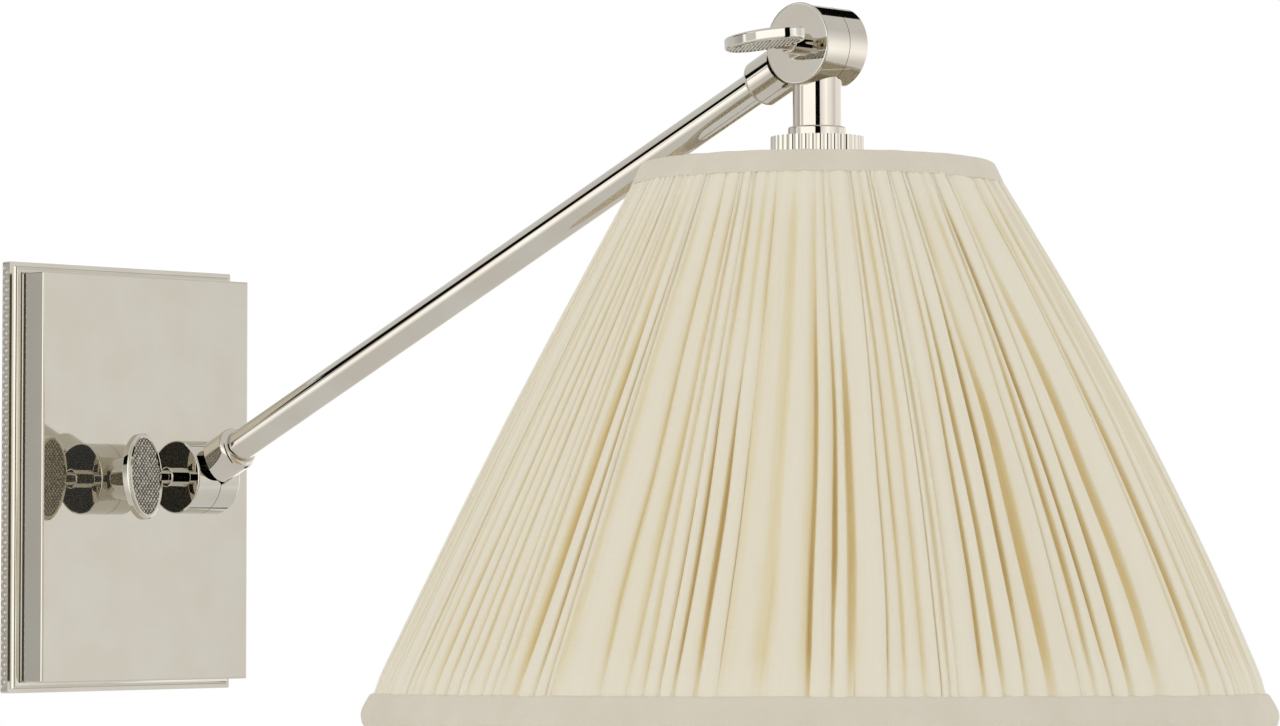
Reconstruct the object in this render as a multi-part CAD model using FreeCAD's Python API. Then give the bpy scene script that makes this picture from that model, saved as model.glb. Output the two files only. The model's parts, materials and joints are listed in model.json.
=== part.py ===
"""Pharmacy wall lamp: a plate on the wall, one arm between two locking knuckles, and a gathered shade.

Millimetres. +Z is up, +X runs along the wall and -Y points into the room. The origin is on the wall,
at the middle of the plate. Every sub-part is written to parts/NAME.step.
"""

import FreeCAD, Part
import math
import os

V = FreeCAD.Vector

# ---- driving dimensions ----------------------------------------------------------------------------

# wall plate: a thin back plate, and a box-shaped cover that stands on it
PLATE_WIDTH = 120.0
PLATE_HEIGHT = 176.0
PLATE_THICKNESS = 4.5
PLATE_BORDER = 4.3  # how far the back plate shows round the cover
WINDOW_WIDTH = 100.0  # the opening behind the cover
WINDOW_HEIGHT = 162.8
WINDOW_CORNER = 6.0
COVER_DEPTH = 16.5
SHEET = 1.6  # sheet brass of the cover, and the steel of the mounting bar
COVER_EDGE = 0.8

# mounting bar, screwed to a ceiling or wall box
BAR_WIDTH = 24.0
BOX_SCREW_SPACING = 88.9
BOX_SLOT_LENGTH = 16.0
BOX_SLOT_RADIUS = 2.3
BAR_EAR_DEPTH = 15.0
BAR_EAR_GAP = 1.0
GROUND_RADIUS = 2.0
GROUND_BELOW = 20.0  # below the plate's middle
GROUND_HEAD_FLATS = 7.0
GROUND_HEAD_HEIGHT = 2.6
GROUND_TIP_GAP = 0.2

# the two small countersunk screws that hold the cover to the bar's ears
LOCK_SCREW_RADIUS = 2.0
LOCK_SCREW_LENGTH = 6.0
LOCK_SCREW_REACH = 12.0  # from the wall
LOCK_SCREW_PLAY = 0.1
LOCK_HEAD_RADIUS = 3.4
LOCK_HEAD_DEPTH = 1.3
LOCK_SLOT_WIDTH = 0.8
LOCK_SLOT_DEPTH = 0.8

# knuckles: two hollow half drums on one screw, each with a stem
DRUM_RADIUS = 14.9
DRUM_LENGTH = 22.4
DRUM_WALL = 2.5
DRUM_END_WALL = 3.0
DRUM_EDGE = 0.7
SEAM_X = 1.0  # the split is a little to one side of the middle
SEAM_GAP = 0.24
BOSS_RADIUS = 4.5
STEM_NOTCH_RADIUS = 17.5  # an arm stem is cut back to this beside the other half's drum
POST_NOTCH_RADIUS = 15.2  # the post and the neck come this close to it
STEM_RADIUS = 9.0
NECK_RADIUS = 8.9
FRICTION_WASHER_RADIUS = 8.0
FRICTION_WASHER_THICKNESS = 1.5
THREAD_END_WALL = 1.4  # what is left of the far half's end beyond the key screw's thread
NECK_RELIEF_START = 1.0  # how far wallward of the neck's axis its deeper notch begins

# arm
KNUCKLE_REACH = 51.2  # lower knuckle's axis to the wall
ARM_LENGTH = 371.0  # axis to axis
ARM_RISE_DEG = 24.2
TUBE_RADIUS = 6.35
TUBE_WALL = 1.0
LOWER_STEM_LENGTH = 30.0
UPPER_STEM_LENGTH = 31.0
TUBE_SOCKET_DEPTH = 10.0
STEM_END_ROUND = 2.4

# thumb keys
KEY_LENGTH = 35.0
KEY_WIDTH = 18.4
KEY_THICKNESS = 4.6
KEY_EDGE = 1.0
KEY_REACH = 17.4  # middle of the key to the drum's end
KEY_RIM = 1.9
KEY_RECESS = 0.5
KEY_HUB_RADIUS = 2.9
KEY_HUB_INSET = 2.0
KEY_SHOULDER_RADIUS = 4.1
KEY_SHOULDER_LENGTH = 5.0
KEY_SHOULDER_EDGE = 0.5
KEY_SCREW_RADIUS = 2.5
KEY_SCREW_TIP_WALL = 1.8
LOWER_KEY_TURN_DEG = -5.0
UPPER_KEY_TURN_DEG = -94.4

# lamp pipe: hollow threaded nipples, collars and nuts
NIPPLE_RADIUS = 4.85
NIPPLE_BORE = 3.4
RUNNING_GAP = 0.05
COLLAR_RADIUS = 10.7
COLLAR_LENGTH = 3.5
COLLAR_EDGE = 0.7
NUT_FLATS = 14.0
NUT_HEIGHT = 4.5
WASHER_RADIUS = 9.0
WASHER_THICKNESS = 1.2
PIPE_SEAT_START = 19.4  # a nipple goes into a stem as far as this from the drum's axis
POST_NIPPLE_BACK = 12.4  # its back end to the wall
WIRE_RADIUS = 1.1
WIRE_SPACING = 2.8
NEAR_WIRE_X = -1.2  # the wires keep to their own half of each knuckle
FAR_WIRE_X = 2.4
WIRE_HOLE = 4.0
WIRE_HOLE_OVERLAP = 3.0  # how far a wire hole runs on into the drum
CONNECTOR_X = 33.0
CONNECTOR_Y = -10.0
CONNECTOR_Z = 22.0
CONNECTOR_LENGTH = 22.0
CONNECTOR_MOUTH_RADIUS = 5.6
CONNECTOR_CROWN_RADIUS = 3.6

# head, in distances below the upper knuckle's axis
NECK_END = 29.6
CAP_TOP = 33.2
RIM = 43.0  # plane of the shade's top edge
CAP_RADIUS = 16.95
CAP_FLUTES = 36
CAP_FLUTE_DEPTH = 0.6
SPIDER_THICKNESS = 2.0
SPIDER_HUB_RADIUS = 14.0
SPOKE_RADIUS = 1.4
SPOKE_DROP = 1.3  # the hub's top above the spokes' top
SPOKES = 3
SOCKET_TOP = 49.0
SOCKET_CAP_RADIUS = 18.8
SOCKET_CAP_LENGTH = 13.0
SOCKET_CAP_ROUND = 3.0
SOCKET_CAP_CROWN = 4.0
SOCKET_NUT_HEIGHT = 4.0
HEAD_NIPPLE_END = 56.0
SOCKET_END = 100.0
SOCKET_SKIN = 0.8
SHELL_OVERLAP = 6.0  # how far the shell goes up into the cap
SHELL_BEAD = 0.9
LINER = 1.0
LINER_TOP_INSET = 6.5
LINER_END_INSET = 1.5
SCREW_SHELL_RADIUS = 14.0
SCREW_SHELL_SKIN = 0.5
SCREW_SHELL_INSET = 4.0
CONTACT_RADIUS = 3.0
CONTACT_GAP = 0.1
SOCKET_BASE_TOP = 60.0
SOCKET_BASE_END = 70.0
PORCELAIN_HOLE_DEPTH = 4.0
BULB_TIP_TOP = 72.0
BULB_TIP_HEIGHT = 2.4
BULB_TIP_RADII = (2.6, 5.0)
INSULATOR_HEIGHT = 3.0
INSULATOR_RADIUS = 9.0
BULB_NECK = 98.0
BULB_END = 178.0
BULB_RADIUS = 30.0
BULB_NECK_RADIUS = 14.0
BULB_SCREW_RADIUS = 13.0
THREAD_HEIGHT = 0.8
THREAD_SINK = 0.1
THREAD_PITCH = 3.2
THREAD_START = 2.2
THREAD_TURNS = 6
BULB_SCREW_SKIN = 0.5
GLASS_JOIN_DEG = 52.0  # where the bulb's ball gives way to the neck's flare, from the vertical
GLASS_FLARE_PULL = 22.0
GLASS_STEM = 8.0  # how far the glass goes up into the screw cap
GLASS_STEM_PLAY = 0.4
GLASS = 0.9

# shade
SHADE_HEIGHT = 203.2
TOP_TRIM_RADIUS = 63.4
TOP_TRIM_HEIGHT = 7.6
BOTTOM_TRIM_HEIGHT = 12.0
TRIM_FOOT_RADIUS = 66.4  # outside of the fabric where it comes out of the top trim
FABRIC_FOOT_RADIUS = 161.0  # outside of the fabric where it goes into the bottom trim
BOTTOM_TRIM_RADIUS = 165.1
FABRIC_BULGE = 3.3
FABRIC_DEPTH = 2.8  # the gathered layer, folds and all
LINING_GAP = 3.0  # room for the ribs between fabric and lining
LINING = 0.6
TRIM_DEPTH = 6.6
TOP_WIRE_RADIUS = 1.5
BOTTOM_WIRE_RADIUS = 1.75
RIB_RADIUS = 1.2
RIBS = 8
RIB_END_GAP = 1.5

# ---- places that follow from them ------------------------------------------------------------------

RISE = math.radians(ARM_RISE_DEG)
COVER_WIDTH = PLATE_WIDTH - 2 * PLATE_BORDER
COVER_HEIGHT = PLATE_HEIGHT - 2 * PLATE_BORDER
COVER_FRONT = PLATE_THICKNESS + COVER_DEPTH
LOWER_AXIS = V(0, -KNUCKLE_REACH, 0)
ARM_DIRECTION = V(0, -math.cos(RISE), math.sin(RISE))
UPPER_AXIS = LOWER_AXIS + ARM_DIRECTION * ARM_LENGTH
HALF_DRUM = DRUM_LENGTH / 2
NEAR_FACE = -HALF_DRUM
CAVITY_RADIUS = DRUM_RADIUS - DRUM_WALL
WIRE_START = CAVITY_RADIUS - 1.0  # the wires end just inside a knuckle
SHADE_BOTTOM = RIM + SHADE_HEIGHT
FABRIC_TOP = RIM + TOP_TRIM_HEIGHT
FABRIC_BOTTOM = SHADE_BOTTOM - BOTTOM_TRIM_HEIGHT
TOP_WIRE_PLACE = (TOP_TRIM_RADIUS - 2.6, RIM + 2.8)  # radius, distance below
BOTTOM_WIRE_PLACE = (BOTTOM_TRIM_RADIUS - 4.6, SHADE_BOTTOM - 3.6)
SPIDER_HUB_TOP = TOP_WIRE_PLACE[1] - SPOKE_RADIUS - SPOKE_DROP
SPIDER_HUB_END = SPIDER_HUB_TOP + SPIDER_THICKNESS
SHELL_RADIUS = SOCKET_CAP_RADIUS - SOCKET_SKIN - RUNNING_GAP
LINER_RADIUS = SHELL_RADIUS - SOCKET_SKIN - RUNNING_GAP
BASE_RADIUS = LINER_RADIUS - LINER - RUNNING_GAP
BULB_SCREW_ROOT = BULB_SCREW_RADIUS - THREAD_HEIGHT
BULB_SCREW_TOP = BULB_TIP_TOP + BULB_TIP_HEIGHT + INSULATOR_HEIGHT
TUBE_SEAT = TUBE_RADIUS + RUNNING_GAP
PIPE_SEAT = NIPPLE_RADIUS + RUNNING_GAP
INSIDE_DRUM = CAVITY_RADIUS - WIRE_HOLE_OVERLAP
COVER_INSIDE = -COVER_FRONT + SHEET
LOCK_SCREW_Y = -LOCK_SCREW_REACH
GROUND_PLACE = V(0, 0, -GROUND_BELOW)
ALONG_WALL = V(1, 0, 0)
INTO_WALL = V(0, 1, 0)
DOWN = V(0, 0, -1)


# ---- shapes that are used more than once -----------------------------------------------------------


def rod(radius, start, end):
    """Solid cylinder between two points."""
    run = end - start
    return Part.makeCylinder(radius, run.Length, start, run)


def pipe(outer, inner, start, end):
    """Hollow cylinder between two points."""
    return rod(outer, start, end).cut(rod(inner, start, end))


def rounded_rod(radius, start, end, rounding):
    """Solid cylinder whose far edge is rounded."""
    solid = rod(radius, start, end)
    round_edges = [e for e in solid.Edges if isinstance(e.Curve, Part.Circle)]
    far_edge = [e for e in round_edges if e.Curve.Center.distanceToPoint(end) < 1e-6]
    return solid.makeFillet(rounding, far_edge)


def turned(outline, centre):
    """Closed outline of (radius, distance below centre) points, turned about the vertical through centre."""
    points = [centre + V(r, 0, -below) for r, below in outline]
    face = Part.Face(Part.makePolygon(points + points[:1]))
    return face.revolve(centre, V(0, 0, 1), 360)


def hexagon(flats, start, end, bore=0.0):
    """Hexagon prism between two points, bored through if it is a nut."""
    run = end - start
    side = ALONG_WALL * (flats / 2 / math.cos(math.pi / 6))
    corners = [start + FreeCAD.Rotation(run, 60 * i).multVec(side) for i in range(7)]
    prism = Part.Face(Part.makePolygon(corners)).extrude(run)
    return prism.cut(rod(bore, start, end)) if bore else prism


def wire_along(points, radius):
    """Round wire along straight runs joined by tangent arcs, each as large as its runs allow."""
    edges, last = [], points[0]
    for before, corner, after in zip(points, points[1:], points[2:]):
        back, on = (before - corner).normalize(), (after - corner).normalize()
        reach = 0.45 * min((before - corner).Length, (after - corner).Length)
        half_opening = back.getAngle(on) / 2
        bend = reach * math.tan(half_opening)
        middle = (back + on).normalize()
        start, end = corner + back * reach, corner + on * reach
        crown = corner + middle * (bend / math.sin(half_opening) - bend)
        edges += [Part.LineSegment(last, start).toShape(), Part.Arc(start, crown, end).toShape()]
        last = end
    edges.append(Part.LineSegment(last, points[-1]).toShape())
    section = Part.Wire(Part.Circle(points[0], points[1] - points[0], radius).toShape())
    return Part.Wire(edges).makePipeShell([section], True, False)


def moved(shape, place):
    """Copy of a shape built about the origin, carried to its place."""
    copy = shape.copy()
    copy.translate(place)
    return copy


# ---- wall plate ------------------------------------------------------------------------------------


def block(width, height, front, back, edge=0.0):
    """Upright block centred on the plate, from front to back, its corners along Y rounded."""
    solid = Part.makeBox(width, front - back, height, V(-width / 2, -front, -height / 2))
    if not edge:
        return solid
    upright = [e for e in solid.Edges if abs(e.tangentAt(e.FirstParameter).y) > 0.9]
    return solid.makeFillet(edge, upright)


def back_plate():
    plate = block(PLATE_WIDTH, PLATE_HEIGHT, PLATE_THICKNESS, 0, COVER_EDGE)
    return plate.cut(block(WINDOW_WIDTH, WINDOW_HEIGHT, PLATE_THICKNESS, 0, WINDOW_CORNER))


def cover():
    outside = Part.makeBox(
        COVER_WIDTH, COVER_DEPTH, COVER_HEIGHT, V(-COVER_WIDTH / 2, -COVER_FRONT, -COVER_HEIGHT / 2)
    )
    shown = [e for e in outside.Edges if e.CenterOfMass.y < -PLATE_THICKNESS - 0.01]
    outside = outside.makeFillet(COVER_EDGE, shown)
    inside = block(COVER_WIDTH - 2 * SHEET, COVER_HEIGHT - 2 * SHEET, COVER_FRONT - SHEET, PLATE_THICKNESS)
    pipe_hole = rod(PIPE_SEAT, V(0, -COVER_FRONT, 0), V(0, -PLATE_THICKNESS, 0))
    shell = outside.cut(inside).cut(pipe_hole).cut(lock_screw_holes(LOCK_SCREW_RADIUS + LOCK_SCREW_PLAY))
    return shell.cut(Part.makeCompound([lock_screw_head(side) for side in (1, -1)]))


def lock_screw_holes(radius):
    """One bore right through, top to bottom, to cut the two screw holes from a wall or an ear."""
    return rod(radius, V(0, LOCK_SCREW_Y, -PLATE_HEIGHT / 2), V(0, LOCK_SCREW_Y, PLATE_HEIGHT / 2))


def lock_screw_head(side):
    """Countersunk head of the upper (1) or lower (-1) screw, flush with the cover."""
    crown = V(0, LOCK_SCREW_Y, side * COVER_HEIGHT / 2)
    return Part.makeCone(LOCK_HEAD_RADIUS, LOCK_SCREW_RADIUS, LOCK_HEAD_DEPTH, crown, V(0, 0, -side))


def lock_screws():
    """Two small screws, above and below, that hold the cover to the mounting bar's ears."""
    screws = []
    for side in (1, -1):
        crown = V(0, LOCK_SCREW_Y, side * COVER_HEIGHT / 2)
        tip = crown - V(0, 0, side * LOCK_SCREW_LENGTH)
        shank = rod(LOCK_SCREW_RADIUS, tip, crown - V(0, 0, side * LOCK_HEAD_DEPTH))
        slot_corner = V(-LOCK_HEAD_RADIUS, LOCK_SCREW_Y - LOCK_SLOT_WIDTH / 2, crown.z - LOCK_SLOT_DEPTH)
        slot = Part.makeBox(2 * LOCK_HEAD_RADIUS, LOCK_SLOT_WIDTH, 2 * LOCK_SLOT_DEPTH, slot_corner)
        screws.append(shank.fuse(lock_screw_head(side)).cut(slot).removeSplitter())
    return Part.makeCompound(screws)


def mounting_bar():
    """Steel strap across the wall box, with slots for the box's screws and an ear at each end."""
    ear_end = COVER_HEIGHT / 2 - SHEET - BAR_EAR_GAP
    bar = block(BAR_WIDTH, 2 * ear_end, SHEET, 0)
    for side in (1, -1):
        low = ear_end - SHEET if side > 0 else -ear_end
        bar = bar.fuse(Part.makeBox(BAR_WIDTH, BAR_EAR_DEPTH, SHEET, V(-BAR_WIDTH / 2, -BAR_EAR_DEPTH, low)))
        middle = side * BOX_SCREW_SPACING / 2
        reach = BOX_SLOT_LENGTH / 2 - BOX_SLOT_RADIUS
        through = V(0, -SHEET, 0)
        end_middles = [V(0, 0, middle - reach), V(0, 0, middle + reach)]
        ends = [rod(BOX_SLOT_RADIUS, place, place + through) for place in end_middles]
        straight = Part.makeBox(
            2 * BOX_SLOT_RADIUS, SHEET, 2 * reach, V(-BOX_SLOT_RADIUS, -SHEET, middle - reach)
        )
        bar = bar.cut(straight.multiFuse(ends))
    bar = bar.cut(lock_screw_holes(LOCK_SCREW_RADIUS + RUNNING_GAP))
    bar = bar.cut(rod(PIPE_SEAT, V(0, -SHEET, 0), V(0, 0, 0)))
    bar = bar.cut(rod(GROUND_RADIUS + RUNNING_GAP, GROUND_PLACE, GROUND_PLACE + V(0, -SHEET, 0)))
    return bar.removeSplitter()


def ground_screw():
    """Hexagon-headed earthing screw in the bar; its tip stays inside the bar."""
    seat = GROUND_PLACE + V(0, -SHEET, 0)
    head = hexagon(GROUND_HEAD_FLATS, seat - INTO_WALL * GROUND_HEAD_HEIGHT, seat)
    shank = rod(GROUND_RADIUS, seat, GROUND_PLACE - INTO_WALL * GROUND_TIP_GAP)
    return head.fuse(shank).removeSplitter()


def post_collar():
    """Check ring between the post and the cover."""
    front = V(0, -COVER_FRONT - COLLAR_LENGTH, 0)
    back = V(0, -COVER_FRONT, 0)
    return rounded_rod(COLLAR_RADIUS, back, front, COLLAR_EDGE).cut(rod(PIPE_SEAT, front, back))


def post_nipple():
    start = V(0, -KNUCKLE_REACH + PIPE_SEAT_START, 0)
    return pipe(NIPPLE_RADIUS, NIPPLE_BORE, start, V(0, -POST_NIPPLE_BACK, 0))


def post_washer():
    seat = V(0, COVER_INSIDE, 0)
    return pipe(WASHER_RADIUS, PIPE_SEAT, seat, seat + INTO_WALL * WASHER_THICKNESS)


def post_nut():
    seat = V(0, COVER_INSIDE + WASHER_THICKNESS, 0)
    return hexagon(NUT_FLATS, seat, seat + INTO_WALL * NUT_HEIGHT, PIPE_SEAT)


def supply_route(side):
    """Corners of one supply wire, from inside the lower knuckle to its connector's mouth."""
    z = side * WIRE_SPACING / 2
    return [
        V(NEAR_WIRE_X, -KNUCKLE_REACH + WIRE_START, z),
        V(NEAR_WIRE_X, -9.0, z),
        V(side * 6.0, -5.2, 1.5 + z),
        V(side * 24.0, -5.4, 3.5),
        V(side * CONNECTOR_X, -6.5, 9.0),
        V(side * CONNECTOR_X, CONNECTOR_Y, CONNECTOR_Z),
    ]


def supply_wires():
    """Two insulated wires from the lower knuckle, through the nipple, to the wire connectors."""
    return Part.makeCompound([wire_along(supply_route(side), WIRE_RADIUS) for side in (1, -1)])


def wire_connectors():
    """Twist-on connectors on the two wires, mouths down."""
    cones = []
    for side in (1, -1):
        before, mouth = supply_route(side)[-2:]
        run = mouth - before
        radii = (CONNECTOR_MOUTH_RADIUS, CONNECTOR_CROWN_RADIUS)
        cones.append(Part.makeCone(*radii, CONNECTOR_LENGTH, mouth, run))
    return Part.makeCompound(cones)


# ---- knuckles --------------------------------------------------------------------------------------


def knuckle_half(centre, near, stem, stem_radius, stem_end, notch, end_round=0.0):
    """Hollow half drum about X with a stem; the near half takes the key and the far half its thread.

    The stem is centred on the whole drum, so its part beside the other half is cut back to the notch radius.
    """
    if near:
        seam, outer, inner_wall = SEAM_X - SEAM_GAP / 2, -HALF_DRUM, -HALF_DRUM + DRUM_END_WALL
        boss_end = SEAM_X - FRICTION_WASHER_THICKNESS / 2 - RUNNING_GAP
        beside = (seam, HALF_DRUM)
    else:
        seam, outer, inner_wall = SEAM_X + SEAM_GAP / 2, HALF_DRUM, HALF_DRUM - DRUM_END_WALL
        boss_end = SEAM_X + FRICTION_WASHER_THICKNESS / 2 + RUNNING_GAP
        beside = (seam, -HALF_DRUM)

    def at(x):
        return centre + ALONG_WALL * x

    drum = rounded_rod(DRUM_RADIUS, at(seam), at(outer), DRUM_EDGE)
    if end_round:
        shank = rounded_rod(stem_radius, centre, centre + stem * stem_end, end_round)
    else:
        shank = rod(stem_radius, centre, centre + stem * stem_end)
    shank = shank.cut(rod(CAVITY_RADIUS, at(-HALF_DRUM), at(HALF_DRUM)))
    shank = shank.cut(rod(notch, at(beside[0]), at(beside[1])))
    half = drum.fuse(shank).cut(rod(CAVITY_RADIUS, at(inner_wall), at(seam)))
    half = half.fuse(rod(BOSS_RADIUS, at(inner_wall), at(boss_end)))
    bore_start = outer if near else HALF_DRUM - THREAD_END_WALL
    return half.cut(rod(KEY_SCREW_RADIUS + RUNNING_GAP, at(bore_start), at(boss_end)))


def drilled(half, centre, stem, holes):
    """Half with holes down its stem: (radius, from, to), distances from the drum's axis."""
    for radius, start, end in holes:
        half = half.cut(rod(radius, centre + stem * start, centre + stem * end))
    return half.removeSplitter()


def wall_knuckle():
    """Near half of the lower knuckle and the post that carries it."""
    end = KNUCKLE_REACH - COVER_FRONT - COLLAR_LENGTH
    half = knuckle_half(LOWER_AXIS, True, INTO_WALL, STEM_RADIUS, end, POST_NOTCH_RADIUS)
    holes = [(WIRE_HOLE, INSIDE_DRUM, end), (PIPE_SEAT, PIPE_SEAT_START, end)]
    return drilled(half, LOWER_AXIS, INTO_WALL, holes)


def arm_lower_knuckle():
    half = knuckle_half(
        LOWER_AXIS, False, ARM_DIRECTION, STEM_RADIUS, LOWER_STEM_LENGTH, STEM_NOTCH_RADIUS, STEM_END_ROUND
    )
    holes = [
        (WIRE_HOLE, INSIDE_DRUM, LOWER_STEM_LENGTH),
        (TUBE_SEAT, LOWER_STEM_LENGTH - TUBE_SOCKET_DEPTH, LOWER_STEM_LENGTH),
    ]
    return drilled(half, LOWER_AXIS, ARM_DIRECTION, holes)


def arm_upper_knuckle():
    back = ARM_DIRECTION * -1
    half = knuckle_half(
        UPPER_AXIS, False, back, STEM_RADIUS, UPPER_STEM_LENGTH, STEM_NOTCH_RADIUS, STEM_END_ROUND
    )
    holes = [
        (WIRE_HOLE, INSIDE_DRUM, UPPER_STEM_LENGTH),
        (TUBE_SEAT, UPPER_STEM_LENGTH - TUBE_SOCKET_DEPTH, UPPER_STEM_LENGTH),
    ]
    return drilled(half, UPPER_AXIS, back, holes)


def head_knuckle():
    """Near half of the upper knuckle and the neck that the head hangs from.

    On the wall side the neck is cut back further, because the arm's stem comes round to it there.
    """
    half = knuckle_half(UPPER_AXIS, True, DOWN, NECK_RADIUS, NECK_END, POST_NOTCH_RADIUS)
    seam, far_end = UPPER_AXIS + ALONG_WALL * SEAM_X, UPPER_AXIS + ALONG_WALL * HALF_DRUM
    beside_stem = rod(STEM_NOTCH_RADIUS, seam, far_end)
    size = 2 * KNUCKLE_REACH
    wall_side = Part.makeBox(size, size, size, UPPER_AXIS + V(-size / 2, NECK_RELIEF_START, -size))
    half = half.cut(beside_stem.common(wall_side))
    holes = [(WIRE_HOLE, INSIDE_DRUM, NECK_END), (PIPE_SEAT, PIPE_SEAT_START, NECK_END)]
    return drilled(half, UPPER_AXIS, DOWN, holes)


def friction_washer(centre):
    """Fibre washer between the two bosses; it sets how stiffly the knuckle turns."""
    start = centre + ALONG_WALL * (SEAM_X - FRICTION_WASHER_THICKNESS / 2)
    end = start + ALONG_WALL * FRICTION_WASHER_THICKNESS
    return pipe(FRICTION_WASHER_RADIUS, KEY_SCREW_RADIUS + RUNNING_GAP, start, end)


def arm_tube():
    start = LOWER_AXIS + ARM_DIRECTION * (LOWER_STEM_LENGTH - TUBE_SOCKET_DEPTH)
    end = UPPER_AXIS - ARM_DIRECTION * (UPPER_STEM_LENGTH - TUBE_SOCKET_DEPTH)
    return pipe(TUBE_RADIUS, TUBE_RADIUS - TUBE_WALL, start, end)


def straight_wires(start, end, x):
    """A pair of insulated wires side by side in the plane at x."""
    across = (end - start).cross(ALONG_WALL).normalize() * (WIRE_SPACING / 2)
    places = [ALONG_WALL * x + across * side for side in (1, -1)]
    return Part.makeCompound([rod(WIRE_RADIUS, start + place, end + place) for place in places])


def arm_wires():
    inset = ARM_DIRECTION * WIRE_START
    return straight_wires(LOWER_AXIS + inset, UPPER_AXIS - inset, FAR_WIRE_X)


# ---- thumb keys ------------------------------------------------------------------------------------


def upright_ellipse(length, width, y, thickness):
    """Elliptical slab, long axis along Z, from y towards +Y."""
    long_end, short_end, middle = V(0, y, length / 2), V(width / 2, y, 0), V(0, y, 0)
    outline = Part.Wire(Part.Ellipse(long_end, short_end, middle).toShape())
    return Part.Face(outline).extrude(V(0, thickness, 0))


def thumb_key(centre, turn_deg):
    """Oval key with a raised rim round each sunk face, and a round hub at its drum side."""
    slab = upright_ellipse(KEY_LENGTH, KEY_WIDTH, -KEY_THICKNESS / 2, KEY_THICKNESS)
    slab = slab.makeFillet(KEY_EDGE, [e for e in slab.Edges if abs(e.CenterOfMass.y) > KEY_EDGE])
    for y in (-KEY_THICKNESS / 2, KEY_THICKNESS / 2 - KEY_RECESS):
        slab = slab.cut(upright_ellipse(KEY_LENGTH - 2 * KEY_RIM, KEY_WIDTH - 2 * KEY_RIM, y, KEY_RECESS))
    hub_start, hub_end = KEY_WIDTH / 2 - KEY_HUB_INSET, KEY_REACH - KEY_SHOULDER_LENGTH
    key = slab.fuse(rod(KEY_HUB_RADIUS, V(hub_start, 0, 0), V(hub_end, 0, 0))).removeSplitter()
    key.rotate(V(0, 0, 0), ALONG_WALL, turn_deg)
    return moved(key, centre + ALONG_WALL * (NEAR_FACE - KEY_REACH))


def key_screw(centre):
    """Shouldered screw: the shoulder pulls the near half up against the far one."""
    face = centre + ALONG_WALL * NEAR_FACE
    shoulder_end = face - ALONG_WALL * KEY_SHOULDER_LENGTH
    shoulder = rounded_rod(KEY_SHOULDER_RADIUS, face, shoulder_end, KEY_SHOULDER_EDGE)
    tip = centre + ALONG_WALL * (HALF_DRUM - KEY_SCREW_TIP_WALL)
    return shoulder.fuse(rod(KEY_SCREW_RADIUS, face, tip)).removeSplitter()


# ---- head: neck, cap, socket and bulb --------------------------------------------------------------


def below(distance):
    """Point on the head's axis, that far below the upper knuckle."""
    return UPPER_AXIS + DOWN * distance


def neck_collar():
    ring = rounded_rod(COLLAR_RADIUS, below(CAP_TOP), below(NECK_END), COLLAR_EDGE)
    return ring.cut(rod(PIPE_SEAT, below(NECK_END), below(CAP_TOP)))


def reeded_cap():
    """Thick round cap whose edge is all convex flutes."""
    step = 2 * math.pi / CAP_FLUTES
    groove = CAP_RADIUS - CAP_FLUTE_DEPTH

    def on_edge(radius, angle):
        return below(RIM) + V(radius * math.cos(angle), radius * math.sin(angle), 0)

    flutes = [
        Part.Arc(
            on_edge(groove, i * step), on_edge(CAP_RADIUS, (i + 0.5) * step), on_edge(groove, (i + 1) * step)
        ).toShape()
        for i in range(CAP_FLUTES)
    ]
    cap = Part.Face(Part.Wire(flutes)).extrude(V(0, 0, RIM - CAP_TOP))
    return cap.cut(rod(PIPE_SEAT, below(CAP_TOP), below(RIM)))


def head_nipple():
    return pipe(NIPPLE_RADIUS, NIPPLE_BORE, below(PIPE_SEAT_START), below(HEAD_NIPPLE_END))


def spoke_directions():
    """One spoke points at the wall, the others are evenly spaced."""
    angles = [math.pi / 2 + 2 * math.pi * i / SPOKES for i in range(SPOKES)]
    return [V(math.cos(a), math.sin(a), 0) for a in angles]


def spokes(radius, reach):
    """Round spokes from inside the hub's edge out to a distance from the axis."""
    level, start = below(TOP_WIRE_PLACE[1]), SPIDER_HUB_RADIUS - 1.0
    return [rod(radius, level + d * start, level + d * reach) for d in spoke_directions()]


def shade_spider():
    """Flat washer on the lamp pipe with three spokes out to the shade's top wire."""
    hub = pipe(SPIDER_HUB_RADIUS, PIPE_SEAT, below(SPIDER_HUB_TOP), below(SPIDER_HUB_END))
    reach = TOP_WIRE_PLACE[0] - TOP_WIRE_RADIUS - RUNNING_GAP
    return hub.multiFuse(spokes(SPOKE_RADIUS, reach)).removeSplitter()


def spider_nut():
    return hexagon(NUT_FLATS, below(SPIDER_HUB_END), below(SOCKET_TOP), PIPE_SEAT)


def socket_cap():
    """Cup that joins the socket to the lamp pipe."""
    top, under_top = below(SOCKET_TOP), below(SOCKET_TOP + SHEET)
    crown, end = below(SOCKET_TOP + SOCKET_CAP_CROWN), below(SOCKET_TOP + SOCKET_CAP_LENGTH)
    outside = rounded_rod(SOCKET_CAP_RADIUS, end, top, SOCKET_CAP_ROUND)
    skirt = rod(SOCKET_CAP_RADIUS - SOCKET_SKIN, crown, end)
    hollow = skirt.fuse(rod(SOCKET_CAP_RADIUS - SOCKET_CAP_CROWN, under_top, crown))
    return outside.cut(hollow).cut(rod(PIPE_SEAT, top, under_top))


def socket_nut():
    top = SOCKET_TOP + SHEET
    return hexagon(NUT_FLATS, below(top), below(top + SOCKET_NUT_HEIGHT), PIPE_SEAT)


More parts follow.
